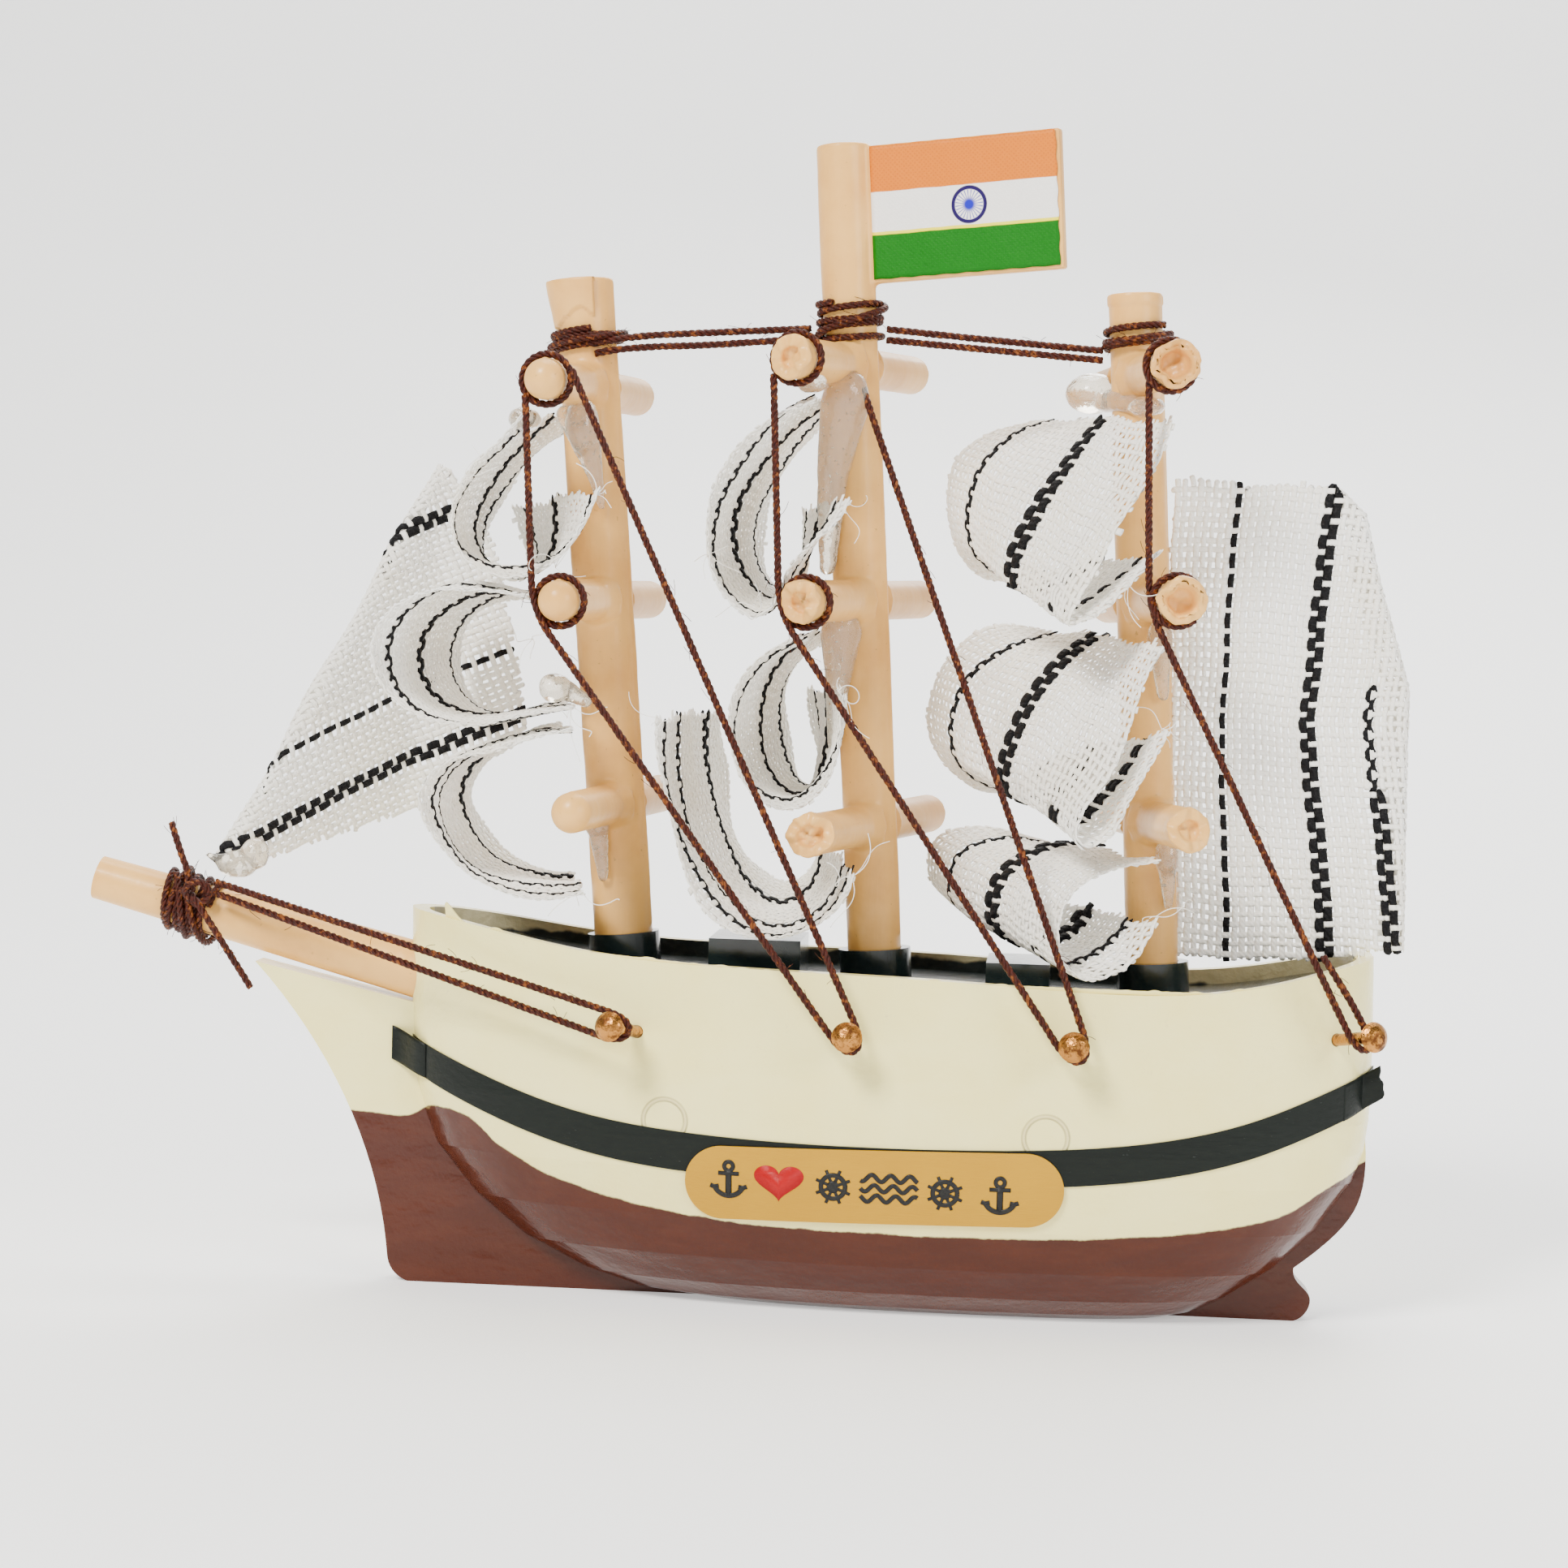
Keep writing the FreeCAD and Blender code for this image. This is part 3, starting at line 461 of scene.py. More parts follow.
# ---------------------------------------------------------------- making helpers
def keep_piece(mesh, name, materials, replaced):
    """Links a finished mesh as a piece that rides with the ship."""
    piece = bpy.data.objects.new(name, mesh)
    bpy.context.collection.objects.link(piece)
    for material in materials:
        mesh.materials.append(material)
    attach(piece, "root")
    if replaced:
        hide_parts(*replaced)
    return piece


def mesh_from(bm, name):
    mesh = bpy.data.meshes.new(name)
    bm.to_mesh(mesh)
    bm.free()
    mesh.shade_smooth()
    return mesh


def baked(curve_or_object):
    """The mesh that an unlinked object gives once its modifiers or bevel have been applied."""
    bpy.context.collection.objects.link(curve_or_object)
    graph = bpy.context.evaluated_depsgraph_get()
    graph.update()
    mesh = bpy.data.meshes.new_from_object(curve_or_object.evaluated_get(graph), depsgraph=graph)
    data = curve_or_object.data
    bpy.data.objects.remove(curve_or_object)
    (bpy.data.curves if isinstance(data, bpy.types.Curve) else bpy.data.meshes).remove(data)
    return mesh


def tubes(runs, materials):
    """One mesh of round capped tubes; each run is (radius, points, material index), in millimetres."""
    data = bpy.data.curves.new("tubes", "CURVE")
    for material in materials:
        data.materials.append(material)
    data.dimensions, data.bevel_depth, data.bevel_resolution = "3D", 1.0, 1
    data.use_fill_caps = True
    for radius, points, index in runs:
        run = data.splines.new("POLY")
        run.points.add(len(points) - 1)
        run.points.foreach_set("co", np.column_stack([points, np.ones(len(points))]).ravel())
        run.points.foreach_set("radius", np.full(len(points), radius))
        run.material_index = index
        run.use_smooth = True
    mesh = baked(bpy.data.objects.new("tubes", data))
    bm = bmesh.new()
    bm.from_mesh(mesh)
    bmesh.ops.remove_doubles(bm, verts=bm.verts, dist=1e-4)
    bm.to_mesh(mesh)
    bm.free()
    return mesh


def places(mesh):
    """The corners of a mesh, one row each."""
    spots = np.empty(len(mesh.vertices) * 3)
    mesh.vertices.foreach_get("co", spots)
    return spots.reshape(-1, 3)


def set_places(mesh, spots):
    mesh.vertices.foreach_set("co", np.ascontiguousarray(spots, dtype=float).ravel())
    mesh.update()


def node_mesh(node):
    """A merged copy of a solid's mesh."""
    bm = bmesh.new()
    bm.from_mesh(bpy.data.objects[node].data)
    bmesh.ops.remove_doubles(bm, verts=bm.verts, dist=1e-6)
    return bm


def paint_node(node, *materials):
    mesh = bpy.data.objects[node].data
    mesh.materials.clear()
    for material in materials:
        mesh.materials.append(material)


def travelled(line):
    """How far along a line each of its points is."""
    return np.concatenate([[0], np.cumsum(np.linalg.norm(np.diff(line, axis=0), axis=1))])


def at_places(at, along, table):
    """Every column of a table, read at the given places along it."""
    return np.stack([np.interp(at, along, column) for column in table.T], axis=1)


def unit(vectors):
    """A direction, or a row of them, with a length of 1."""
    return vectors / np.linalg.norm(vectors, axis=-1, keepdims=True)


set_view()
set_studio()

# ---------------------------------------------------------------- threads
THREAD_THICK, THREAD_PITCH, STRANDS = 0.62, 1.75, 3
THREAD_STEP, FIBRE_RADIUS = 0.16, 0.022


def centre_line(points):
    """Points along the smooth line of a route, read from its NURBS spline, in metres."""
    data = bpy.data.curves.new("route", "CURVE")
    data.dimensions, data.resolution_u = "3D", 24
    run = data.splines.new("NURBS")
    run.points.add(len(points) - 1)
    for point, place in zip(run.points, points):
        point.co = (*place, 1.0)
    run.order_u, run.use_endpoint_u = 3, True
    bare = bpy.data.objects.new("route", data)
    mesh = bpy.data.meshes.new_from_object(bare)
    line = places(mesh)
    bpy.data.meshes.remove(mesh)
    bpy.data.objects.remove(bare)
    bpy.data.curves.remove(data)
    return line


def even(line, step):
    """The same line with its points one step apart, and its length."""
    along = travelled(line)
    at = np.linspace(0, along[-1], max(3, int(round(along[-1] / step)) + 1))
    return at_places(at, along, line), along[-1]


def side_frames(line):
    """Two directions square to a line at each of its points, turning no more than they must."""
    ahead = unit(np.gradient(line, axis=0))
    first = np.cross(ahead[0], (0.13, 0.22, 0.97))
    sides = []
    for step in ahead:
        first = unit(first - step * np.dot(first, step))
        sides.append(first)
    sides = np.array(sides)
    return sides, np.cross(ahead, sides)


def twisted(lines, name, seed, replaced, fuzz):
    """Twisted thread along each line (millimetres): strands round its centre, fuzz stray fibres per mm."""
    rng = np.random.default_rng(seed)
    runs = []
    for line in lines:
        line, long = even(np.asarray(line, float), THREAD_STEP)
        across, over = side_frames(line)
        travel = np.linspace(0, long, len(line))
        start = rng.uniform(0, 6.28)
        for strand in range(STRANDS):
            turn = start + travel * 2 * math.pi / THREAD_PITCH + strand * 2 * math.pi / STRANDS
            lay = THREAD_THICK * 0.255 * (1 + 0.05 * np.sin(travel * 1.7 + strand))
            points = line + across * (lay * np.cos(turn))[:, None] + over * (lay * np.sin(turn))[:, None]
            runs.append((THREAD_THICK * 0.262, points, 0))
        for _ in range(int(long * fuzz)):
            at = rng.integers(2, len(line) - 2)
            way = unit(across[at] * rng.normal() + over[at] * rng.normal())
            reach = rng.uniform(0.35, 0.85)
            drift = (line[at + 1] - line[at]) / THREAD_STEP * rng.uniform(-1.4, 1.4)
            fibre = [line[at] + way * (THREAD_THICK * 0.35 + reach * s) + drift * s * s
                     for s in (0.0, 0.4, 0.75, 1.0)]
            runs.append((FIBRE_RADIUS, np.array(fibre), 0))
    mesh = tubes(runs, [THREAD])
    set_places(mesh, places(mesh) * MM)
    mesh.shade_smooth()
    return keep_piece(mesh, name, [], replaced)


# routes round the yards and the brass pins, in millimetres
LINES = {
    "fore_line": [(-25.5, -12.6, 73.9), (-24.8, -12.6, 61.6), (-24.5, -12.6, 56.8), (-21.6, -12.8, 53.0),
                  (-1.2, -14.1, 25.9), (1.7, -14.3, 22.1), (3.2, -14.1, 23.0), (1.2, -14.0, 27.3),
                  (-21.7, -13.3, 76.0)],
    "main_line": [(-5.7, -11.9, 76.1), (-5.0, -11.8, 62.1), (-4.8, -11.8, 57.3), (-2.1, -12.1, 53.4),
                  (16.9, -13.9, 25.9), (19.6, -14.2, 22.0), (21.2, -14.2, 22.9), (19.5, -13.3, 27.3),
                  (0.9, -3.9, 75.6)],
    "mizzen_line": [(24.0, -13.0, 76.1), (24.4, -13.1, 63.1), (24.6, -13.1, 58.3), (26.8, -12.9, 54.0),
                    (40.1, -11.3, 27.7), (42.3, -11.1, 23.4), (43.9, -10.1, 24.3), (39.2, -11.6, 31.2)],
    "bowsprit_line": [(-52.1, -3.2, 32.3), (-20.4, -12.9, 23.6), (-16.0, -14.3, 22.4), (-15.4, -14.1, 24.4),
                      (-19.9, -12.8, 25.5), (-52.3, -3.0, 33.3)],
}
for number, (line_name, route) in enumerate(LINES.items()):
    route_line = centre_line([tuple(part * MM for part in point) for point in route])
    cord = twisted([route_line / MM], line_name + "_thread", 10 + number, [line_name], 0.35)

# foot of each mast, its lean and its turn in degrees
MASTS = {
    "fore": ((-17.8, 0.0, 26.0), 5.0, -8.0),
    "main": ((3.2, 0.0, 26.0), 3.9, -17.0),
    "mizzen": ((26.2, 0.0, 26.0), 3.4, 11.0),
}
YARDS = {"fore": (49.6, 31.9, 14.9), "main": (51.8, 32.4, 13.8), "mizzen": (51.3, 32.9, 14.9)}
MAST_RADIUS = {"fore": 2.45, "main": 2.25, "mizzen": 2.15}
# where the yard loops lie across the ship
YARD_LOOP = {"fore": -12.1, "main": -11.8, "mizzen": -12.9}


def mast_frame(name):
    foot, lean, turn = MASTS[name]
    return (Matrix.Translation(foot) @ Matrix.Rotation(-math.radians(lean), 4, "Y")
            @ Matrix.Rotation(math.radians(turn), 4, "Z"))


def moved_by(matrix, spots):
    matrix = np.array(matrix)
    return np.asarray(spots, float) @ matrix[:3, :3].T + matrix[:3, 3]


def on_mast(name, spots):
    """Places in the frame of a mast, put in the ship's frame; both in millimetres."""
    return moved_by(mast_frame(name), spots)


def in_mast(name, spots):
    """The reverse of on_mast."""
    return moved_by(mast_frame(name).inverted(), spots)


def coil(radius, turns, rise, start=0.0, wander=0.05, seed=0):
    """A wound line round the Z axis; it wanders a little, as hand-tied turns do."""
    rng = np.random.default_rng(seed)
    steps = int(turns * 26) + 2
    way = np.linspace(0, turns * 2 * math.pi, steps)
    phase = rng.uniform(0, 6.28, 3)
    out = radius + wander * (0.6 * np.sin(way * 0.63 + phase[0]) + 0.6)
    up = np.linspace(0, rise, steps) + wander * 2.2 * np.sin(way * 0.5 + phase[1])
    return np.stack([out * np.cos(way + start), out * np.sin(way + start), up], axis=1)


def bent(points):
    """A smooth line through a few points, in millimetres."""
    return centre_line([tuple(part * MM for part in point) for point in points]) / MM


def yard_loops(name):
    """The loops of the yard line round the upper two yards of a mast."""
    lines = []
    for count, height in enumerate(YARDS[name][:2]):
        ring = coil(1.98, 1.35, 0.65, start=2.2 + count, seed=count)
        local = np.stack([ring[:, 0], YARD_LOOP[name] - ring[:, 2], height + ring[:, 1]], axis=1)
        lines.append(on_mast(name, local))
    twisted(lines, name + "_loop_threads", 30 + len(name), [name + "_yard_loops"], 0.3)


def head_lashing(name, low, turns, rise, seed):
    """The turns of thread round a mast above its top yard, with a slanted turn over them."""
    radius = MAST_RADIUS[name] + 0.22
    lines = [on_mast(name, coil(radius, turns, rise, start=2.6, wander=0.10, seed=seed) + (0, 0, low))]
    cross = coil(radius + 0.45, 0.62, rise * 0.9, start=3.4, wander=0.06, seed=seed + 1) + (0, 0, low + 0.1)
    lines.append(on_mast(name, cross))
    twisted(lines, name + "_lashing_threads", seed, [name + "_head_lashing"], 0.3)


for mast_name in MASTS:
    yard_loops(mast_name)
for mast_name, low, turns, rise, seed in (("fore", 52.9, 2.4, 1.5, 41), ("main", 53.9, 4.3, 3.2, 42),
                                          ("mizzen", 53.7, 2.5, 1.6, 43)):
    head_lashing(mast_name, low, turns, rise, seed)

STAYS = {
    "fore_top_stay": [[(-21.6, -2.5, 78.9), (-19.1, -2.1, 79.6), (-11.0, -0.9, 80.2), (-3.8, -0.3, 80.7)],
                      [(-21.4, -2.6, 78.1), (-19.1, -2.2, 78.7), (-11.0, -1.2, 79.1), (-3.8, -0.6, 79.9)]],
    "aft_top_stay": [[(2.6, -1.2, 80.7), (11.5, -1.45, 79.9), (20.3, -1.5, 79.3)],
                     [(2.6, -1.4, 79.8), (11.5, -1.6, 79.1), (20.3, -1.7, 78.5)]],
}
for stay_name, stay_lines in STAYS.items():
    twisted([bent(points) for points in stay_lines], stay_name + "_threads", 50, [stay_name], 0.4)

BOWSPRIT_TIP, BOWSPRIT_ROOT = Vector((-63.2, 0, 33.1)), Vector((-31.5, 0, 25.2))


def on_bowsprit(spots):
    """Places along the bowsprit (Z from its tip), put in the ship's frame."""
    turn = (BOWSPRIT_ROOT - BOWSPRIT_TIP).to_track_quat("Z", "Y").to_matrix()
    return np.asarray(spots, float) @ np.array(turn).T + np.array(BOWSPRIT_TIP)


def bowsprit_lashing():
    """Turns round the bowsprit, a slanted turn, a knot on the port side and its two loose tails."""
    lines = [on_bowsprit(coil(2.25, 7.4, 3.9, start=0.4, wander=0.16, seed=61) + (0, 0, 6.3))]
    slant = coil(2.72, 1.7, 2.6, start=2.1, wander=0.12, seed=62) + (0, 0, 7.0)
    slant[:, 2] += 1.3 * np.sin(np.linspace(0, 9.0, len(slant)))
    lines.append(on_bowsprit(slant))
    knot = [(-53.4, -2.6, 30.9), (-54.9, -3.4, 31.9), (-54.6, -3.9, 33.2), (-53.2, -3.8, 33.4),
            (-52.6, -3.3, 32.2), (-53.8, -3.2, 31.2), (-55.2, -3.2, 32.6)]
    upper_tail = [(-54.4, -3.0, 32.6), (-54.6, -3.5, 34.2), (-55.3, -3.7, 36.0), (-56.1, -3.4, 38.2)]
    lower_tail = [(-54.4, -3.1, 32.2), (-53.2, -3.6, 30.8), (-51.4, -4.0, 28.3), (-49.0, -3.7, 24.6)]
    lines += [bent(points) for points in (knot, upper_tail, lower_tail)]
    twisted(lines, "bowsprit_lashing_threads", 63, ["bowsprit_lashing"], 0.7)


bowsprit_lashing()

# ---------------------------------------------------------------- sails
# each square sail is a curled ribbon; its port and starboard edges (x, z) in the frame of its mast.
# PORT_REACH is where the port edge lies across the ship, if the ribbon is not centred on the mast
RIBBON_WIDE = 24.4
PORT_REACH = {"main_middle_sail": -11.4, "mizzen_lower_sail": -10.1}
SAILS = {
    "fore_upper_sail": (
        [(-2.2, 47.2), (-4.4, 45.0), (-7.5, 42.2), (-9.1, 39.4), (-8.7, 36.6), (-6.2, 34.9), (-3.0, 34.6),
         (0.2, 35.5), (2.7, 37.9), (3.9, 40.6)],
        [(-4.4, 47.4), (-6.8, 46.2), (-10.8, 43.0), (-14.0, 39.4), (-14.4, 36.6), (-12.6, 34.9),
         (-10.8, 34.6), (-9.9, 35.7), (-10.2, 37.9), (-11.0, 40.4)]),
    "fore_middle_sail": (
        [(-2.6, 32.2), (-6.0, 33.4), (-10.1, 33.9), (-14.2, 31.6), (-15.9, 28.7), (-15.4, 25.5),
         (-13.2, 23.3), (-9.5, 22.4), (-4.0, 22.9), (0.4, 23.2)],
        [(-5.0, 32.0), (-8.8, 32.8), (-12.0, 33.0), (-15.6, 31.2), (-17.0, 28.4), (-16.5, 25.3),
         (-14.6, 23.2), (-12.0, 22.6), (-9.4, 22.9), (-7.6, 23.2)]),
    "fore_lower_sail": (
        [(0.2, 21.4), (-2.7, 21.3), (-6.9, 20.5), (-11.0, 18.9), (-12.6, 16.6), (-12.0, 13.2), (-9.7, 10.3),
         (-6.3, 8.9), (-2.5, 8.4), (0.4, 8.4)],
        [(-8.2, 21.2), (-9.8, 21.2), (-12.5, 20.2), (-15.3, 18.4), (-16.5, 16.0), (-15.9, 13.0),
         (-14.0, 10.5), (-11.2, 9.2), (-8.9, 8.5), (-7.9, 8.4)]),
    "main_upper_sail": (
        [(1.2, 48.9), (-1.6, 47.8), (-5.3, 44.4), (-8.2, 40.2), (-8.7, 36.3), (-6.8, 32.9), (-4.2, 31.6),
         (-2.6, 32.8), (-1.2, 35.0), (0.8, 36.9), (2.8, 38.8), (3.8, 40.6)],
        [(-7.4, 48.6), (-8.5, 47.6), (-11.3, 44.2), (-13.4, 40.2), (-13.6, 36.8), (-12.4, 34.2),
         (-10.8, 33.4), (-9.8, 33.9), (-9.4, 35.2), (-9.6, 36.8), (-9.8, 38.6), (-10.0, 40.4)]),
    "main_middle_sail": (
        [(-1.0, 29.8), (-4.4, 28.2), (-7.0, 25.0), (-7.7, 21.6), (-6.8, 18.2), (-4.8, 16.5), (-2.4, 16.2),
         (0.2, 17.6), (1.8, 19.7), (2.6, 22.2), (2.8, 25.0)],
        [(-7.6, 29.8), (-9.8, 28.2), (-12.0, 25.0), (-12.6, 21.6), (-12.2, 18.6), (-11.2, 16.9),
         (-10.0, 16.6), (-9.6, 17.6), (-9.6, 19.6), (-9.8, 22.2), (-10.0, 25.0)]),
    "main_lower_sail": (
        [(3.2, 10.6), (2.2, 8.6), (-0.6, 6.2), (-4.9, 5.2), (-9.0, 7.4), (-12.0, 12.0), (-13.3, 18.0),
         (-13.2, 23.4)],
        [(-9.8, 12.0), (-10.2, 10.2), (-11.2, 8.6), (-13.4, 7.8), (-15.6, 9.4), (-17.4, 13.2),
         (-18.2, 18.4), (-18.2, 23.4)]),
    "mizzen_upper_sail": (
        [(0.2, 47.2), (-1.6, 42.8), (-5.0, 37.2), (-8.0, 32.8), (-8.6, 31.1), (-6.8, 31.6), (-3.4, 34.2),
         (-0.4, 37.0)],
        [(-6.6, 48.8), (-10.2, 48.0), (-13.2, 45.4), (-14.3, 41.6), (-13.0, 37.8), (-10.6, 35.6),
         (-8.6, 35.2), (-7.0, 36.0)]),
    "mizzen_middle_sail": (
        [(-0.6, 29.3), (-3.0, 25.0), (-5.6, 20.0), (-7.6, 15.9), (-7.8, 14.2), (-6.2, 14.4), (-3.6, 17.4),
         (-0.8, 22.6)],
        [(-7.0, 31.0), (-11.8, 30.6), (-15.6, 27.4), (-16.3, 22.8), (-14.6, 19.0), (-12.0, 17.3),
         (-9.6, 17.6), (-7.8, 19.4)]),
    "mizzen_lower_sail": (
        [(-1.0, 12.2), (-4.6, 12.0), (-8.0, 10.2), (-9.7, 7.0), (-9.6, 4.4), (-7.6, 2.9), (-4.2, 4.2),
         (-1.4, 7.6)],
        [(-7.4, 12.8), (-12.2, 13.8), (-16.0, 12.4), (-16.6, 9.4), (-14.4, 7.2), (-11.6, 6.4), (-9.6, 6.8),
         (-8.4, 8.2)]),
}
# the gauze: steps between weft and between warp yarns, their radius, and how flat the weave is pressed
WEFT_STEP, WARP_STEP, YARN, FLATNESS = 0.83, 0.60, 0.228, 0.32
# black yarns woven with the white: how far to each side, their radius, and the white left out beside them
STRIPE_KINDS = {
    "thick": ((-0.34, 0.34), 0.36, 0.82),
    "bold": ((-0.50, 0.50), 0.52, 1.10),
    "wavy": ((-0.17, 0.17), 0.235, 0.46),
    "dash": ((0.0,), 0.26, 0.40),
}


def warp_list(wide, stripes, rng):
    """The yarns that run along a sail: (across, radius, material index, sideways swing, start, end)."""
    yarns = [(across + rng.uniform(-0.05, 0.05), YARN * rng.uniform(0.88, 1.12), 0, 0.02, 0.0, 1.0)
             for across in np.arange(0.22, wide, WARP_STEP)]
    for across, kind, start, end in stripes:
        places_of, radius, room = STRIPE_KINDS[kind]
        beside = [yarn for yarn in yarns if abs(yarn[0] - across) <= room]
        yarns = [yarn for yarn in yarns if abs(yarn[0] - across) > room]
        if start > 0:
            yarns += [yarn[:5] + (start,) for yarn in beside]
        swing = {"thick": 0.05, "bold": 0.09, "wavy": 0.10, "dash": 0.03}[kind]
        yarns += [(across + place, radius, 1, swing, start, end) for place in places_of]
    return sorted(yarns)


def weave(long, wide, stripes, seed, inside=None, fray=0.32):
    """Plain-woven gauze laid flat, in millimetres: X along the sail, Y across it, Z up."""
    rng = np.random.default_rng(seed)
    wefts = np.arange(0.25, long, WEFT_STEP)
    wefts = wefts + rng.uniform(-0.07, 0.07, len(wefts))
    warps = warp_list(wide, stripes, rng)
    runs = []

    def lay(points, radius, index, ends):
        if inside is None:
            keep = np.ones(len(points), bool)
        else:
            keep = inside(points[:, 0], points[:, 1])
        edges = np.flatnonzero(np.diff(np.concatenate([[0], keep.astype(int), [0]])))
        for first, last in zip(edges[::2], edges[1::2]):
            run = points[first:last]
            if len(run) < 3:
                continue
            for end, way in ((0, run[0] - run[1]), (-1, run[-1] - run[-2])):
                way = way / max(np.linalg.norm(way), 1e-6)
                loose = rng.uniform(0.1, ends) * (3.0 if rng.random() < 0.05 else 1.0)
                tip = run[end] + way * loose + (0, 0, rng.normal(0, 0.12)) + rng.normal(0, 0.07, 3) * (1, 1, 0)
                run = np.vstack([tip, run]) if end == 0 else np.vstack([run, tip])
            runs.append((radius, run, index))

    for count, (across, radius, index, swing, start, end) in enumerate(warps):
        lift = 0.25 + (0.20 + max(0.0, radius - YARN) if index else 0.0)
        rows = []
        for row, along in enumerate(wefts):
            over = 1 if (row + count) % 2 else -1
            rows.append((along - WEFT_STEP * 0.22, across + swing * over, over * lift * 0.86))
            rows.append((along + WEFT_STEP * 0.22, across + swing * over, over * lift * 0.86))
        rows = np.array(rows)
        share = rows[:, 0] / long
        rows = rows[(share >= start) & (share <= end)]
        if len(rows) > 2:
            lay(rows, radius, index, fray * 0.8)
    for row, along in enumerate(wefts):
        thick = YARN * rng.uniform(0.90, 1.15)
        points = []
        for count, (across, radius, index, swing, start, end) in enumerate(warps):
            over = -1 if (row + count) % 2 else 1
            if not start <= along / long <= end:
                over = 0
            points.append((along + rng.uniform(-0.03, 0.03), across, over * (0.23 + (0.12 if index else 0.0))))
        points = np.array(points)
        middles = (points[1:] + points[:-1]) / 2
        mixed = np.empty((len(points) + len(middles), 3))
        mixed[0::2], mixed[1::2] = points, middles
        lay(mixed, thick, 0, fray)
    return runs


def cloth_piece(name, runs, surface, replaced, wander=0.22):
    """Turns flat gauze into a mesh with its cloth map, then lays it on the sail's surface."""
    mesh = tubes(runs, [COTTON, BLACK_YARN])
    flat = places(mesh)
    corners = np.empty(len(mesh.loops), dtype=np.int32)
    mesh.loops.foreach_get("vertex_index", corners)
    layer = mesh.uv_layers.new(name="cloth")
    layer.data.foreach_set("uv", flat[corners][:, :2].ravel())
    u, v, h = flat.T
    drift_u = wander * (np.sin(v * 0.41 + u * 0.13) + 0.6 * np.sin(v * 1.07 + 1.3))
    drift_v = wander * 0.6 * (np.sin(u * 0.37 + v * 0.11 + 0.8) + 0.5 * np.sin(u * 0.93))
    set_places(mesh, surface(u + drift_u, v + drift_v, h * FLATNESS) * MM)
    mesh.shade_smooth()
    return keep_piece(mesh, name, [], replaced)


def profile(points, count=600):
    """Evenly spaced places on a smooth line through the points, with its length."""
    points = np.array(points, float)
    travel = travelled(points)
    slope = np.gradient(points, travel, axis=0)
    at = np.linspace(0, travel[-1], count)
    span = np.clip(np.searchsorted(travel, at, side="right") - 1, 0, len(points) - 2)
    gap = (travel[span + 1] - travel[span])[:, None]
    t = ((at - travel[span]) / gap[:, 0])[:, None]
    line = ((2 * t ** 3 - 3 * t ** 2 + 1) * points[span] + (t ** 3 - 2 * t ** 2 + t) * gap * slope[span]
            + (3 * t ** 2 - 2 * t ** 3) * points[span + 1] + (t ** 3 - t ** 2) * gap * slope[span + 1])
    along = travelled(line)
    return at_places(np.linspace(0, along[-1], count), along, line), along[-1]


def ribbon_surface(name, seed):
    """The curled surface of a square sail: (along, across, height) in millimetres to the ship's frame."""
    near, near_long = profile(SAILS[name][0])
    far, far_long = profile(SAILS[name][1])
    long = (near_long + far_long) / 2
    port = PORT_REACH.get(name, -RIBBON_WIDE / 2)
    rng = np.random.default_rng(seed)
    phase = rng.uniform(0, 6.28, 4)
    grid = np.linspace(0, 1, len(near))
    near_way, far_way = np.gradient(near, grid, axis=0), np.gradient(far, grid, axis=0)

    def surface(u, v, h):
        share = np.clip(u / long, 0, 1)
        beyond = (u - share * long)[:, None]
        side = (v / RIBBON_WIDE)[:, None]
        port_edge, far_edge, port_way, far_edge_way = (at_places(share, grid, table)
                                                       for table in (near, far, near_way, far_way))
        spot = port_edge * (1 - side) + far_edge * side
        way = port_way * (1 - side) + far_edge_way * side
        along = unit(np.stack([way[:, 0], 0 * share, way[:, 1]], axis=1))
        lean = far_edge - port_edge
        across = unit(np.stack([lean[:, 0], np.full(len(share), RIBBON_WIDE), lean[:, 1]], axis=1))
        out = unit(np.cross(along, across))
        ripple = 0.16 * np.sin(0.36 * u + 0.45 * v + phase[0]) + 0.12 * np.sin(0.61 * v - 0.27 * u + phase[1])
        edge = np.minimum(v, RIBBON_WIDE - v)
        ripple = ripple + 0.35 * np.exp(-np.maximum(edge, 0) / 1.1) * np.sin(0.5 * u + phase[2])
        local = np.stack([spot[:, 0], port + v, spot[:, 1]], axis=1)
        return on_mast(name.split("_")[0], local + along * beyond + out * (h + ripple)[:, None])

    return surface, long


# stripes of each sail: how far across, kind, and where along the sail they start and end
USUAL = [(2.9, "wavy", 0.0, 1.0), (12.2, "thick", 0.0, 1.0), (21.2, "wavy", 0.0, 1.0)]
STRIPES = {
    "mizzen_upper_sail": [(3.4, "wavy", 0.62, 1.0), (11.2, "bold", 0.0, 1.0), (20.6, "wavy", 0.0, 1.0)],
    "mizzen_middle_sail": [(4.2, "thick", 0.55, 1.0), (12.2, "bold", 0.0, 1.0), (20.2, "wavy", 0.0, 1.0)],
    "mizzen_lower_sail": [(4.2, "wavy", 0.55, 1.0), (12.0, "bold", 0.0, 1.0), (19.6, "wavy", 0.0, 1.0)],
    "fore_lower_sail": [(2.6, "wavy", 0.0, 1.0), (6.2, "wavy", 0.0, 1.0), (17.5, "thick", 0.0, 1.0)],
    "main_lower_sail": [(2.4, "wavy", 0.0, 1.0), (6.4, "wavy", 0.0, 1.0), (17.5, "thick", 0.0, 1.0)],
}


def square_sail(name, seed):
    """One curled square sail of striped gauze."""
    surface, long = ribbon_surface(name, seed)
    runs = weave(long, RIBBON_WIDE, STRIPES.get(name, USUAL), seed)
    sail = cloth_piece(name.replace("_sail", "_gauze"), runs, surface, [name])
    long * MM
    name.split("_")[0] + "_mast"
    print(name, "flat %.1f x %.1f mm" % (RIBBON_WIDE, long))


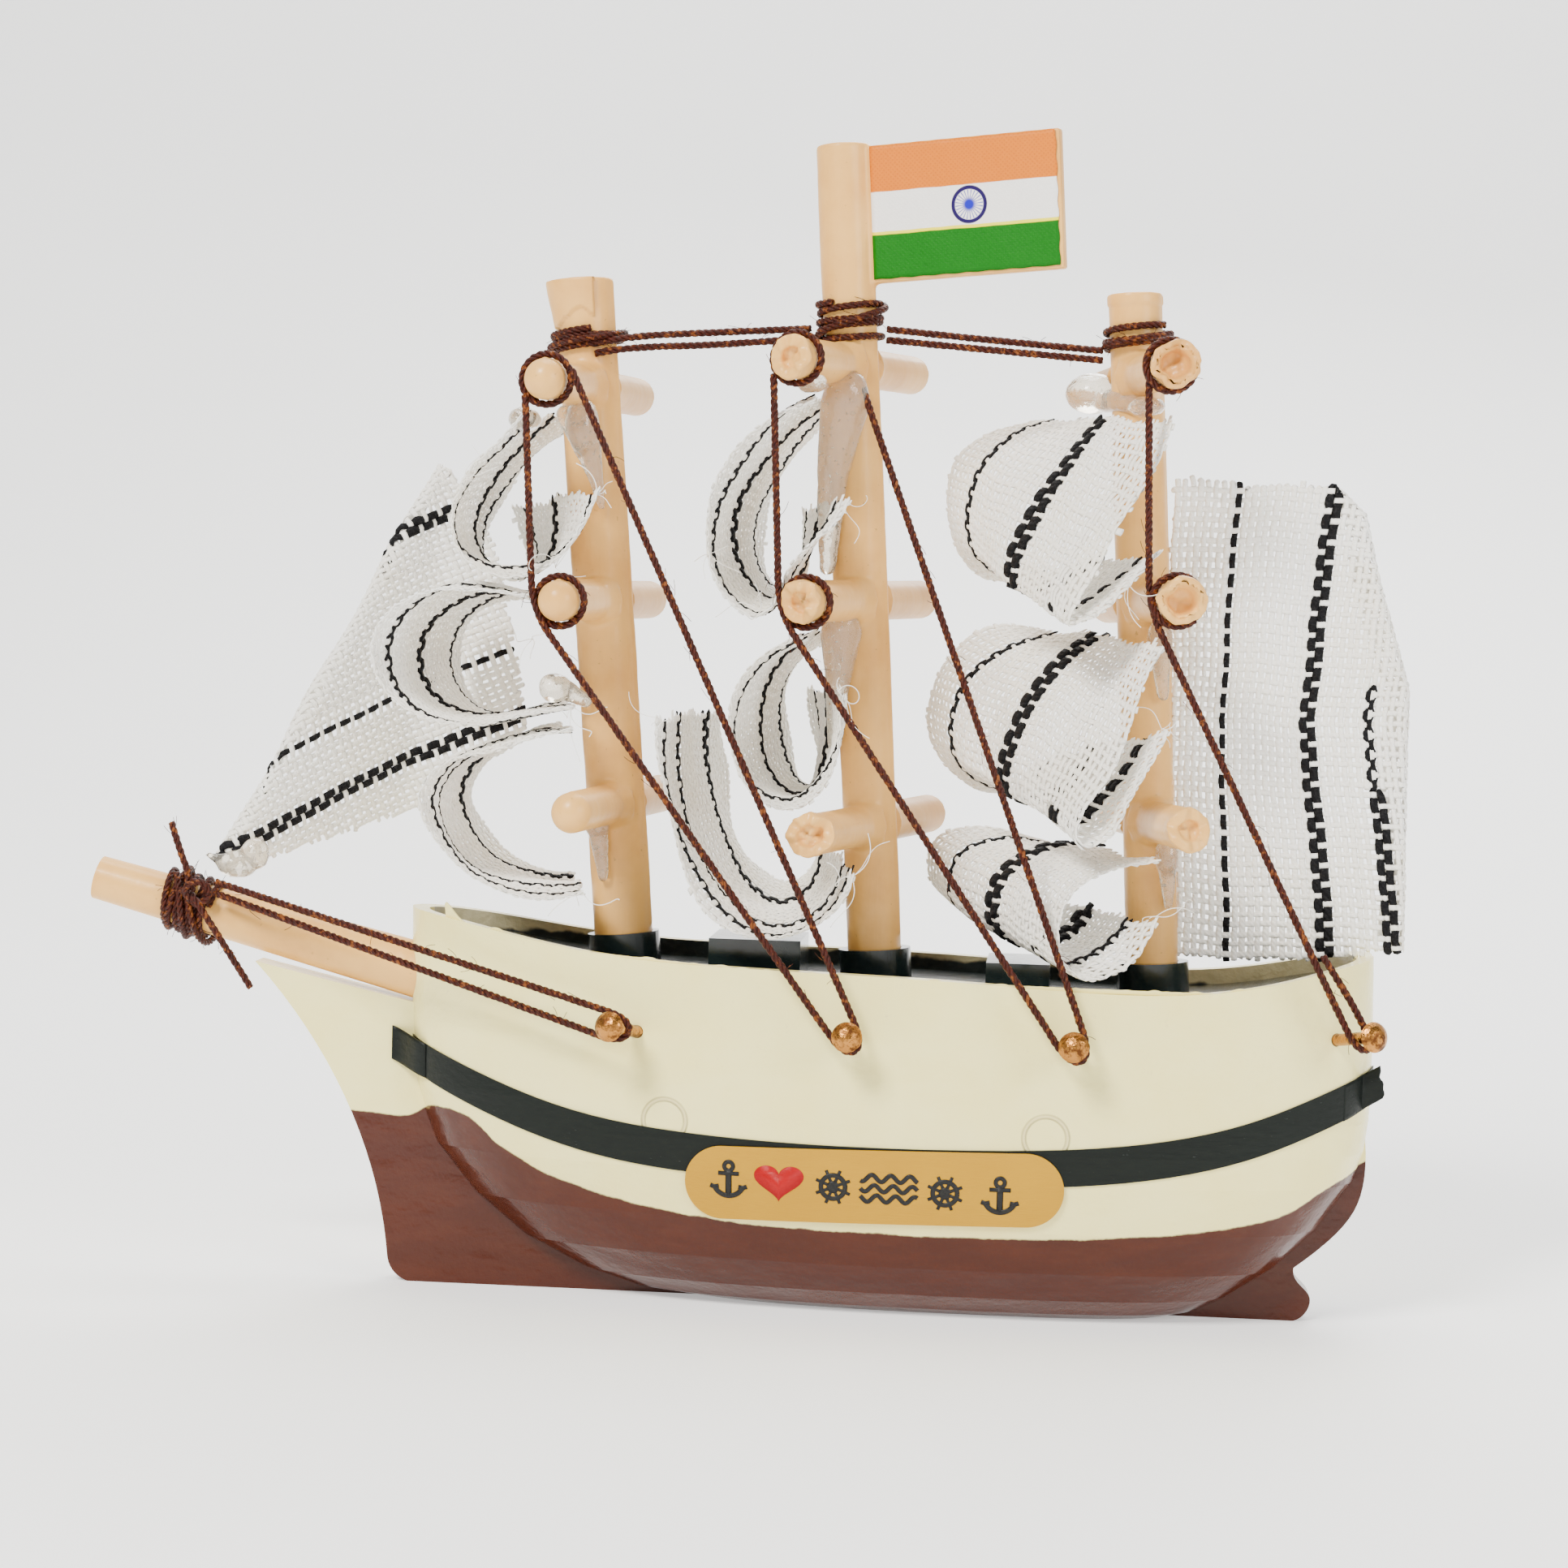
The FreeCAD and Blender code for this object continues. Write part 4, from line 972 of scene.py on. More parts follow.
def within(outline):
    """A test for places inside a closed outline of (x, y) corners."""
    outline = np.array(outline, float)

    def inside(x, y):
        result = np.zeros(len(x), bool)
        for (x0, y0), (x1, y1) in zip(outline, np.roll(outline, -1, axis=0)):
            crosses = (y0 > y) != (y1 > y)
            with np.errstate(divide="ignore", invalid="ignore"):
                result ^= crosses & (x < (x1 - x0) * (y - y0) / (y1 - y0) + x0)
        return result

    return inside


# outline of the spanker (x, z) and its upper fore corner; how far its stripes drift aft at each depth
SPANKER = [(26.4, 69.0), (40.0, 68.8), (42.3, 66.6), (43.6, 61.0), (46.3, 52.3), (46.4, 42.3), (46.6, 30.9),
           (38.0, 29.7), (27.3, 29.6)]
SPANKER_LEFT, SPANKER_TOP = 25.2, 69.4
SPANKER_DRIFT = ([0, 6, 12, 20, 30, 40], [0.9, 0.35, -0.25, -0.75, 0.35, 1.5])
SPANKER_HEM, SPANKER_ROLL = 2.4, 0.45


def spanker():
    """The fore-and-aft sail on the mizzen, with its aft edge rolled."""
    def across_of(u, v):
        return SPANKER_LEFT + v + np.interp(u, *SPANKER_DRIFT) * np.clip(v / 13, 0, 1.2)

    fold_z, fold_x = [z for x, z in SPANKER[1:7]][::-1], [x - 0.5 for x, z in SPANKER[1:7]][::-1]
    outline = within(SPANKER[:1] + [(x + SPANKER_HEM, z) for x, z in SPANKER[1:7]] + SPANKER[7:])

    def inside(u, v):
        return outline(across_of(u, v), SPANKER_TOP - u)

    def surface(u, v, h):
        x = across_of(u, v)
        over = np.clip(x - np.interp(SPANKER_TOP - u, fold_z, fold_x), 0, None)
        turn = np.minimum(over / SPANKER_ROLL, math.pi)
        flat = over - turn * SPANKER_ROLL
        wave = 0.25 * np.sin(u * 0.30 + 1.0) * np.clip(v / 10, 0, 1) + 0.15 * np.sin(v * 0.5 + u * 0.12)
        x = x - over + (SPANKER_ROLL + h) * np.sin(turn) - flat
        y = wave + h * np.cos(turn) - SPANKER_ROLL * np.cos(turn) + SPANKER_ROLL
        return np.stack([x, y, SPANKER_TOP - u], axis=1)

    stripes = [(6.2, "dash", 0.0, 1.0), (13.6, "thick", 0.0, 1.0), (18.7, "wavy", 0.42, 0.62),
               (18.9, "thick", 0.625, 1.0)]
    runs = weave(40.5, 25.0, stripes, 77, inside, 0.25)
    sail = cloth_piece("spanker_gauze", runs, surface, ["spanker_sail"], 0.12)


# corners of the jib: tack, foot of the fold, head, clew and leech; its stripes run along JIB_RUN
JIB = [(-51.8, 0, 34.8), (-39.8, 14.6, 38.6), (-36.9, 16.4, 69.0), (-29.6, 17.6, 45.6), (-32.8, 17.6, 62.5)]
JIB_RUN = (14.25, 17.37, 9.07)
# half the width of the bend at its fold, the hem that is rolled up, and the radius and angle of that roll
JIB_BEND, JIB_HEM, JIB_ROLL, JIB_ROLLED = 1.6, 3.2, 0.75, 4.2


def towards(direction, goal):
    """The direction or its reverse, whichever points more towards the goal."""
    return direction if np.dot(direction, goal) > 0 else -direction


def jib():
    """The leaning head sail: its leading edge is rolled, and it folds beside the foremast."""
    tack, fold, head, clew, leech = (np.array(corner, float) for corner in JIB)
    front_out = unit(np.cross(fold - tack, head - tack))
    back_out = towards(unit(np.cross(head - fold, clew - fold)), front_out)
    leech = leech - back_out * np.dot(back_out, leech - fold)
    run = unit(np.array(JIB_RUN))
    run = unit(run - front_out * np.dot(front_out, run))
    rise = towards(np.cross(front_out, run), (0, 0, 1))
    crease = unit(head - fold)
    ahead = towards(unit(np.cross(crease, front_out)), fold - tack)
    back_ahead = towards(unit(np.cross(crease, back_out)), clew - fold)
    angle = math.atan2(np.dot(back_ahead, front_out), np.dot(back_ahead, ahead))
    reach = np.linspace(-40, 40, 4001)
    share = np.clip((reach + JIB_BEND) / (2 * JIB_BEND), 0, 1)
    bend = angle * share ** 2 * (3 - 2 * share)
    step = reach[1] - reach[0]
    ahead_by = np.cumsum(np.cos(bend)) * step
    out_by = np.cumsum(np.sin(bend)) * step
    ahead_by = ahead_by - np.interp(-JIB_BEND, reach, ahead_by) - JIB_BEND
    out_by = out_by - np.interp(-JIB_BEND, reach, out_by)
    luff = unit(head - tack)
    inward = towards(unit(np.cross(front_out, luff)), fold - tack)

    def flat_of(corner):
        return np.dot(corner - tack, run), np.dot(corner - tack, rise)

    def unfold(corner):
        foot = fold + crease * np.dot(corner - fold, crease)
        return flat_of(foot + ahead * np.dot(corner - foot, back_ahead))

    outline = [flat_of(tack - inward * JIB_HEM), flat_of(tack - luff * 0.9), flat_of(fold), unfold(clew),
               unfold(leech), flat_of(head), flat_of(head - inward * JIB_HEM)]
    low_u, low_v = np.min(outline, axis=0)
    high_u, high_v = np.max(outline, axis=0)
    test = within([(u - low_u, v - low_v) for u, v in outline])

    def surface(u, v, h):
        flat = tack + np.outer(u + low_u, run) + np.outer(v + low_v, rise)
        inside_by = (flat - tack) @ inward
        rolled = np.clip(-inside_by, 0, None)
        turn = np.minimum(rolled / JIB_ROLL, JIB_ROLLED)
        edge = flat + np.outer(rolled, inward)
        height = h[:, None] + 0.18 * np.sin(0.33 * u + 0.21 * v)[:, None]
        normal = np.outer(np.cos(turn), front_out) + np.outer(-np.sin(turn), inward)
        curled = (edge - np.outer(JIB_ROLL * np.sin(turn), inward)
                  - np.outer(JIB_ROLL * (1 - np.cos(turn)), front_out))
        off = (flat - fold) @ ahead
        foot = fold + np.outer((flat - fold) @ crease, crease)
        bent_at = np.interp(off, reach, bend)
        laid = (foot + np.outer(np.interp(off, reach, ahead_by), ahead)
                + np.outer(np.interp(off, reach, out_by), front_out))
        laid_out = np.outer(np.cos(bent_at), front_out) - np.outer(np.sin(bent_at), ahead)
        is_roll = (rolled > 0)[:, None]
        return np.where(is_roll, curled + normal * height, laid + laid_out * height)

    stripes = [(across - low_v, kind, 0.0, 1.0)
               for across, kind in ((0.9, "thick"), (6.6, "dash"), (19.9, "thick"))]
    runs = weave(high_u - low_u, high_v - low_v, stripes, 78, test, 0.25)
    sail = cloth_piece("jib_gauze", runs, surface, ["jib_sail"], 0.12)


for number, sail_name in enumerate(SAILS):
    square_sail(sail_name, 100 + number)
spanker()
jib()

# ---------------------------------------------------------------- masts
# reach of the yards to port, height of the masts, radius of the yards, and how much of a yard's end is torn
YARD_NEAR = {"fore": 14.5, "main": 14.3, "mizzen": 16.0}
MAST_TALL = {"fore": 58.6, "main": 70.0, "mizzen": 58.2}
YARD_RADIUS, TORN_END, DOMED_END = 1.65, 2.6, 1.7


def hills(spots, scale, seed=0.0):
    """Smooth noise from about -1 to 1 at each place."""
    aside = Vector((seed, seed * 0.7, seed * 1.3))
    return np.array([noise.noise(Vector(spot) * scale + aside) for spot in spots])


def melted(bm, voxel, rounds):
    """Joins overlapping solids into one skin, and softens its edges as moulding does."""
    body = bpy.data.objects.new("melted", mesh_from(bm, "melted"))
    skin = body.modifiers.new("skin", "REMESH")
    skin.mode, skin.voxel_size = "VOXEL", voxel
    soften = body.modifiers.new("soften", "SMOOTH")
    soften.factor, soften.iterations = 0.5, rounds
    return baked(body)


def add_cone(bm, start, end, thick_start, thick_end, segments=32):
    """A closed round bar between two places, with a radius at each."""
    start, end = Vector(start), Vector(end)
    turn = (end - start).to_track_quat("Z", "Y").to_matrix().to_4x4()
    place = Matrix.Translation((start + end) / 2) @ turn
    bmesh.ops.create_cone(bm, cap_ends=True, segments=segments, radius1=thick_start, radius2=thick_end,
                          depth=(end - start).length, matrix=place)


def add_bar(bm, middle, size):
    """A rectangular bar, here for the flash along a parting line."""
    bmesh.ops.create_cube(bm, size=1.0, matrix=Matrix.Translation(middle) @ Matrix.Diagonal((*size, 1.0)))


def spar_mast(name):
    """One mast with its yards: collars where they meet, a parting flash, and worn or broken ends."""
    bm = node_mesh(name + "_mast")
    local = in_mast(name, np.array([vert.co for vert in bm.verts]) / MM)
    for vert, spot in zip(bm.verts, local):
        vert.co = spot
    radius, near, tall = MAST_RADIUS[name], YARD_NEAR[name], MAST_TALL[name]
    # the torn yard ends above this height are hollow
    hollow_above = 20 if name == "mizzen" else tall
    for height in YARDS[name]:
        for side in (-1, 1):
            add_cone(bm, (0, side * (radius - 0.6), height), (0, side * (radius + 1.1), height), 2.25, 1.62)
        if name != "fore":
            deep = 1.7 if height > hollow_above else 0.8
            add_cone(bm, (0, 3.6 - near, height), (0, deep - near, height), 1.1, 0.95)
        add_bar(bm, (0.12, -near / 2 - 1.2, height + YARD_RADIUS), (0.26, near - 3.4, 0.26))
    add_bar(bm, (radius, -0.1, tall / 2 + 2.2), (0.34, 0.28, tall - 5.0))
    mesh = melted(bm, 0.18, 5)
    spots = places(mesh)
    x, y, z = spots.T.copy()
    rough = hills(spots, 0.9, 3.0)
    waves = hills(spots, 0.16, 9.0)
    for height in YARDS[name]:
        across, up = x, z - height
        away = np.hypot(across, up)
        on_yard = (away < 2.6) & (-y > near - TORN_END)
        if name == "fore":
            start = near - DOMED_END
            part = on_yard & (-y > start)
            dome = np.sqrt(np.clip(1 - 0.93 * (away / YARD_RADIUS) ** 2, 0.03, 1))
            spots[part, 1] = -(start + (-y[part] - start) * dome[part])
        else:
            start = near - TORN_END
            end = np.clip((-y - start) / TORN_END, 0, 1)
            around = np.arctan2(up, across)
            jag = hills(np.stack([np.cos(around), np.sin(around), 0 * x], axis=1), 1.5, height)
            hollow = height > hollow_above
            flare = (0.20 if hollow else 0.10) * end ** 1.6 * (1 + 1.2 * jag)
            wide = 1 + flare + 0.09 * end * hills(spots, 1.6, height)
            wide = np.where((away < 1.05) & hollow, wide + 0.35 * end, wide)
            lumps = 0.10 * hills(spots * (1, 0, 1), 2.0, height)
            cut = 0.16 + 0.24 * np.cos(around - height * 0.9) + 0.34 * jag + lumps
            spots[on_yard, 0] = (across * wide)[on_yard]
            spots[on_yard, 2] = (height + up * wide)[on_yard]
            spots[on_yard, 1] += (TORN_END * end * np.clip(cut, -0.12, 0.75))[on_yard]
    out = np.hypot(x, y)
    post = out < radius + 0.5
    if name == "fore":
        ragged = tall - 3.3 + 0.7 * np.sin(np.arctan2(y, x) * 3.0) + 0.5 * rough
        skirt = post & (z > ragged) & (x < 1.3)
        spots[skirt, :2] *= (1.10 + 0.055 * np.clip(z - ragged, 0, 4))[skirt, None]
        dent = post & (z > tall - 0.8) & (out < 1.95)
        spots[dent, 2] -= 1.9 * np.sqrt(np.clip(1 - (out[dent] / 1.95) ** 2, 0, 1))
    if name == "mizzen":
        rim = post & (z > tall - 1.0)
        spots[rim, :2] *= 1.05
        dent = post & (z > tall - 0.6) & (out < 1.5)
        spots[dent, 2] -= 0.35
    slope = np.where(post[:, None], np.stack([x, y, 0 * z], axis=1) / np.maximum(out, 0.5)[:, None], 0)
    spots += slope * (0.055 * waves + 0.022 * rough)[:, None]
    set_places(mesh, on_mast(name, spots) * MM)
    mesh.shade_smooth()
    keep_piece(mesh, name + "_spars", [PEACH], [name + "_mast"])


for mast_name in MASTS:
    spar_mast(mast_name)


def flag():
    """The printed label on the flag board, its cut corners lifting a little."""
    bm = bmesh.new()
    bmesh.ops.create_grid(bm, x_segments=48, y_segments=32, size=0.5)
    layer = bm.loops.layers.uv.new("cloth")
    for face in bm.faces:
        for loop in face.loops:
            loop[layer].uv = (loop.vert.co.x + 0.5, loop.vert.co.y + 0.5)
    mesh = mesh_from(bm, "flag_face")
    flat = places(mesh)
    u, v = flat[:, 0] + 0.5, flat[:, 1] + 0.5
    lift = 0.10 * np.exp(-np.hypot((u - 1) * 5, (v - 1) * 5)) + 0.015 * np.sin(u * 19 + v * 7)
    nick = 0.05 * np.sin(v * 37) * (u > 0.985) + 0.03 * np.sin(u * 53)
    local = np.stack([FLAG_X[0] + u * (FLAG_X[1] - FLAG_X[0]) + nick * (np.abs(u - 0.5) > 0.49), -0.64 - lift,
                      FLAG_Z[0] + v * (FLAG_Z[1] - FLAG_Z[0]) + nick * (np.abs(v - 0.5) > 0.49)], axis=1)
    set_places(mesh, on_mast("main", local) * MM)
    piece = keep_piece(mesh, "flag_face", [FLAG], ["flag_label"])
    thick = piece.modifiers.new("paper", "SOLIDIFY")
    thick.thickness, thick.offset = 0.09 * MM, 0.0


flag()

# ---------------------------------------------------------------- set glue
# drops (centre, radii) and runs (start, end, radius at each) in the frame of each mast
GLUE_DROPS = {
    "fore": ([((0.4, -4.2, 46.2), (1.4, 1.7, 2.4)), ((-3.6, -3.6, 24.9), (1.3, 1.9, 1.3)),
              ((-0.8, -3.2, 13.6), (1.1, 1.2, 1.6)), ((-3.2, -8.6, 46.8), (1.2, 2.6, 1.0))],
             [((0.6, -3.9, 46.0), (1.2, -3.0, 39.6), 1.1, 0.35),
              ((-1.2, -4.2, 47.4), (0.8, -3.2, 41.4), 0.7, 0.3),
              ((-0.8, -3.2, 14.2), (-0.6, -3.0, 8.9), 1.0, 0.45),
              ((-3.4, -3.4, 25.0), (-1.2, -2.8, 23.6), 0.9, 0.6)]),
    "main": ([((0.7, -3.4, 49.2), (1.9, 1.9, 2.3)), ((-0.6, -3.3, 30.4), (1.6, 1.5, 1.6)),
              ((0.2, -9.8, 50.0), (1.1, 2.2, 0.9))],
             [((0.5, -3.1, 48.8), (-1.0, -2.7, 43.0), 2.1, 1.35),
              ((-1.0, -2.7, 43.2), (-1.9, -2.5, 35.2), 1.35, 0.7),
              ((-0.7, -3.0, 30.0), (-1.3, -2.6, 26.0), 1.8, 1.1),
              ((-1.3, -2.6, 26.2), (-2.1, -2.3, 20.6), 1.1, 0.5)]),
    "mizzen": ([((-3.2, 2.6, 50.3), (2.3, 2.3, 1.7)), ((-0.4, -5.4, 48.6), (1.5, 2.4, 0.9)),
                ((0.7, -3.1, 29.8), (1.1, 1.3, 1.8)), ((0.8, -3.0, 12.0), (1.0, 1.2, 1.7))],
               [((0.7, -3.0, 29.6), (0.9, -2.7, 25.2), 1.0, 0.5),
                ((0.8, -3.0, 12.0), (0.9, -2.7, 8.0), 0.9, 0.4),
                ((-2.4, 1.2, 49.6), (0.0, -3.6, 49.0), 1.0, 0.8)]),
}


def glue_blob(name, drops, runs, seed):
    """Set glue on a mast or the bowsprit: drops and runs melted into one rounded, slightly lumpy mass."""
    bm = bmesh.new()
    for centre, radii in drops:
        bmesh.ops.create_icosphere(bm, subdivisions=3, radius=1.0,
                                   matrix=Matrix.Translation(centre) @ Matrix.Diagonal((*radii, 1.0)))
    for start, end, wide, narrow in runs:
        add_cone(bm, start, end, wide, narrow, 20)
        for spot, size in ((start, wide), (end, narrow)):
            bmesh.ops.create_icosphere(bm, subdivisions=2, radius=size, matrix=Matrix.Translation(spot))
    mesh = melted(bm, 0.20, 7)
    spots = places(mesh)
    middle = spots - np.mean(spots, axis=0)
    way = middle / np.maximum(np.linalg.norm(middle, axis=1), 1e-6)[:, None]
    spots += way * (0.14 * hills(spots, 0.8, seed) + 0.05 * hills(spots, 2.2, seed))[:, None]
    set_places(mesh, (on_mast(name, spots) if name in MASTS else spots) * MM)
    mesh.shade_smooth()
    keep_piece(mesh, name + "_set_glue", [GLUE], [name + "_glue"])


for number, (mast_name, (drops, runs)) in enumerate(GLUE_DROPS.items()):
    glue_blob(mast_name, drops, runs, 5.0 + number)
glue_blob("bowsprit", [((-51.2, -0.4, 34.6), (1.7, 1.5, 1.2)), ((-49.6, -0.6, 35.6), (1.3, 1.0, 1.4))],
          [((-51.4, -0.6, 34.6), (-53.6, -1.0, 35.4), 0.8, 0.25)], 9.0)


# ---------------------------------------------------------------- plate ornaments, tape ends, rim
def ring(centre, radius, start=0.0, end=360.0, steps=40):
    turn = np.radians(np.linspace(start, end, steps))
    return [(centre[0] + radius * math.cos(a), 0.0, centre[1] + radius * math.sin(a)) for a in turn]


def anchor(x, z):
    """An anchor, as (line radius, points): ring, shank, stock, arms and the two flukes."""
    return [(0.20, ring((x, z + 1.15), 0.36)), (0.26, [(x, 0, z + 0.8), (x, 0, z), (x, 0, z - 1.3)]),
            (0.20, [(x - 0.85, 0, z + 0.55), (x, 0, z + 0.55), (x + 0.85, 0, z + 0.55)]),
            (0.24, ring((x, z - 0.05), 1.28, 205, 335, 24)),
            (0.22, [(x - 1.5, 0, z - 0.5), (x - 1.17, 0, z - 0.62), (x - 0.8, 0, z - 0.55)]),
            (0.22, [(x + 1.5, 0, z - 0.5), (x + 1.17, 0, z - 0.62), (x + 0.8, 0, z - 0.55)])]


def helm(x, z):
    """A ship's wheel: rim, hub and eight spokes."""
    runs = [(0.22, ring((x, z), 0.98)), (0.30, ring((x, z), 0.26, steps=16))]
    for angle in np.radians(np.arange(8) * 45 + 22.5):
        across, up = math.cos(angle), math.sin(angle)
        runs.append((0.15, [(x + across * r, 0, z + up * r) for r in (0.2, 0.9, 1.48)]))
    return runs


def waves(x, z):
    """Three wavy lines, one above the other."""
    along = np.linspace(-2.3, 2.3, 60)
    return [(0.21, [(x + a, 0, z + level + 0.28 * math.sin(a * 4.1 + level)) for a in along])
            for level in (-0.75, 0.1, 0.95)]


def face_tree(node):
    mesh = bpy.data.objects[node].data
    return BVHTree.FromPolygons([v.co / MM for v in mesh.vertices], [p.vertices for p in mesh.polygons])


def port_face(tree, x, z):
    """Where a solid's port face lies across the ship, or None where there is none."""
    hit = tree.ray_cast(Vector((x, -40, z)), Vector((0, 1, 0)))[0]
    return hit.y if hit else None


def lay_on(tree, flat, lift):
    """Moves flat print, drawn across the ship, against the port face of a solid."""
    spots = places(flat)
    faces = np.array([port_face(tree, x, z) or -12.5 for x, _, z in spots])
    spots[:, 1] = faces - lift + spots[:, 1] * 0.14
    set_places(flat, spots * MM)


def plate_print():
    """Plain nautical ornaments and a heart on the gold plate."""
    def level(x):
        return 11.42 - (x + 10.6) * 0.0140

    plate = face_tree("name_plate")
    runs = [run for mark, x in ((anchor, -7.6), (helm, 0.9), (waves, 5.4), (helm, 9.9), (anchor, 14.3))
            for run in mark(x, level(x))]
    mesh = tubes([(radius, np.array(points, float), 0) for radius, points in runs], [INK_BLACK])
    lay_on(plate, mesh, 0.02)
    mesh.shade_smooth()
    keep_piece(mesh, "plate_ornaments", [], ())
    bm = bmesh.new()
    bmesh.ops.create_circle(bm, cap_ends=True, segments=96, radius=1.0)
    bmesh.ops.inset_region(bm, faces=bm.faces[:], thickness=0.35)
    for vert in bm.verts:
        angle, out = math.atan2(vert.co.y, vert.co.x), vert.co.length
        turn = angle - math.pi / 2
        x = 16 * math.sin(turn) ** 3 / 17
        # the usual heart curve
        z = (13 * math.cos(turn) - 5 * math.cos(2 * turn) - 2 * math.cos(3 * turn)
             - math.cos(4 * turn)) / 17 + 0.12
        vert.co = (-3.5 - x * out * 2.15, 0.0, level(-3.5) + z * out * 1.75)
    heart = mesh_from(bm, "heart")
    lay_on(plate, heart, 0.03)
    piece = keep_piece(heart, "plate_heart", [INK_RED], ())
    thick = piece.modifiers.new("ink", "SOLIDIFY")
    thick.thickness = 0.04 * MM


plate_print()

# height of the rim, and of the upper and lower edges of the black tape, at each x
SHEER = [(-50, 31.4), (-31, 31.0), (-20, 29.2), (-8, 28.5), (12, 28.0), (31, 27.8), (36.5, 28.7), (41, 29.8),
         (50, 30.2)]
STRIPE_TOP = [(-37.5, 21.7), (-30, 19.0), (-20.5, 16.2), (-10.8, 15.0), (0, 14.6), (12, 14.7), (25, 15.6),
              (34.5, 17.7), (40.2, 19.9), (46, 22.0)]
STRIPE_LOW = [(-37.5, 18.9), (-30, 16.0), (-20.6, 13.1), (-10.7, 11.8), (4, 11.7), (19, 12.0), (25, 12.6),
              (34.7, 14.8), (40.3, 17.0), (46, 19.2)]
HULL_TREE = face_tree("hull_port_half")


def height_at(x, edge):
    return float(np.interp(x, *zip(*edge)))


def strip(name, columns, rows, place, thick, material):
    """A thin skin: place(u, v) gives its middle in millimetres for u and v from 0 to 1."""
    bm = bmesh.new()
    bmesh.ops.create_grid(bm, x_segments=columns, y_segments=rows, size=0.5)
    for vert in bm.verts:
        vert.co = Vector(place(vert.co.x + 0.5, vert.co.y + 0.5)) * MM
    bmesh.ops.recalc_face_normals(bm, faces=bm.faces)
    piece = keep_piece(mesh_from(bm, name), name, [material], ())
    skin = piece.modifiers.new("thickness", "SOLIDIFY")
    skin.thickness, skin.offset = thick * MM, 0.0


def rim_flash(u, v):
    """A torn fin of plastic along the port rim, with one tall splinter by the bow."""
    x = -34.2 + 76.0 * u
    top = height_at(x, SHEER)
    sides = (port_face(HULL_TREE, x, top - drop) for drop in (0.3, 0.6, 1.0))
    side = next((side for side in sides if side is not None), -11.0)
    spot = Vector((x * 0.9, 0, 4.0))
    fin = max(0.0, noise.noise(spot * 0.7) * 0.40 - 0.04) + 0.03 * noise.noise(Vector((x * 2.2, 7, 1)))
    splinter = 1.5 * math.exp(-((x + 31.7) / 0.45) ** 2)
    return (x - splinter * v * 0.45, side + 0.45 - 0.10 * v, top - 0.35 + v * (0.33 + fin + splinter))


strip("rim_flash", 420, 5, rim_flash, 0.16, HULL)


def tape_band(x, v):
    """Height on the tape, from its lower edge (0) to its upper edge (1)."""
    return height_at(x, STRIPE_LOW) * (1 - v) + height_at(x, STRIPE_TOP) * v


def tape_end(side):
    """The forward end of each tape, bridging from the hull on to the stem."""
    def place(u, v):
        x = -37.3 + 3.3 * u
        z = tape_band(x, v)
        near, far = port_face(HULL_TREE, -37.2, z) or -1.5, port_face(HULL_TREE, -34.0, z) or -5.0
        bridge = near + (far - near) * u * u * (3 - 2 * u)
        return (x, side * abs(min(bridge, port_face(HULL_TREE, x, z) or 0.0) - 0.16), z)
    return place


for name, side in (("port_tape_end", -1), ("starboard_tape_end", 1)):
    strip(name, 24, 12, tape_end(side), 0.16, TAPE)


def stern_tail(u, v):
    """The after end of the port tape, torn off just past the stern and curling clear of it."""
    x = 41.6 + (3.1 + 0.22 * math.sin(v * 5.0 + 0.6) + 0.07 * math.sin(v * 17.0)) * u
    z = tape_band(x, v) + 0.5 * u * u
    side = port_face(HULL_TREE, min(x, 43.2), z) or -4.0
    return (x, side - 0.16 - 0.5 * u ** 3 + 0.25 * math.sin(v * 3.0 + 2.0) * u * u, z)


strip("tape_tail", 28, 12, stern_tail, 0.14, TAPE)


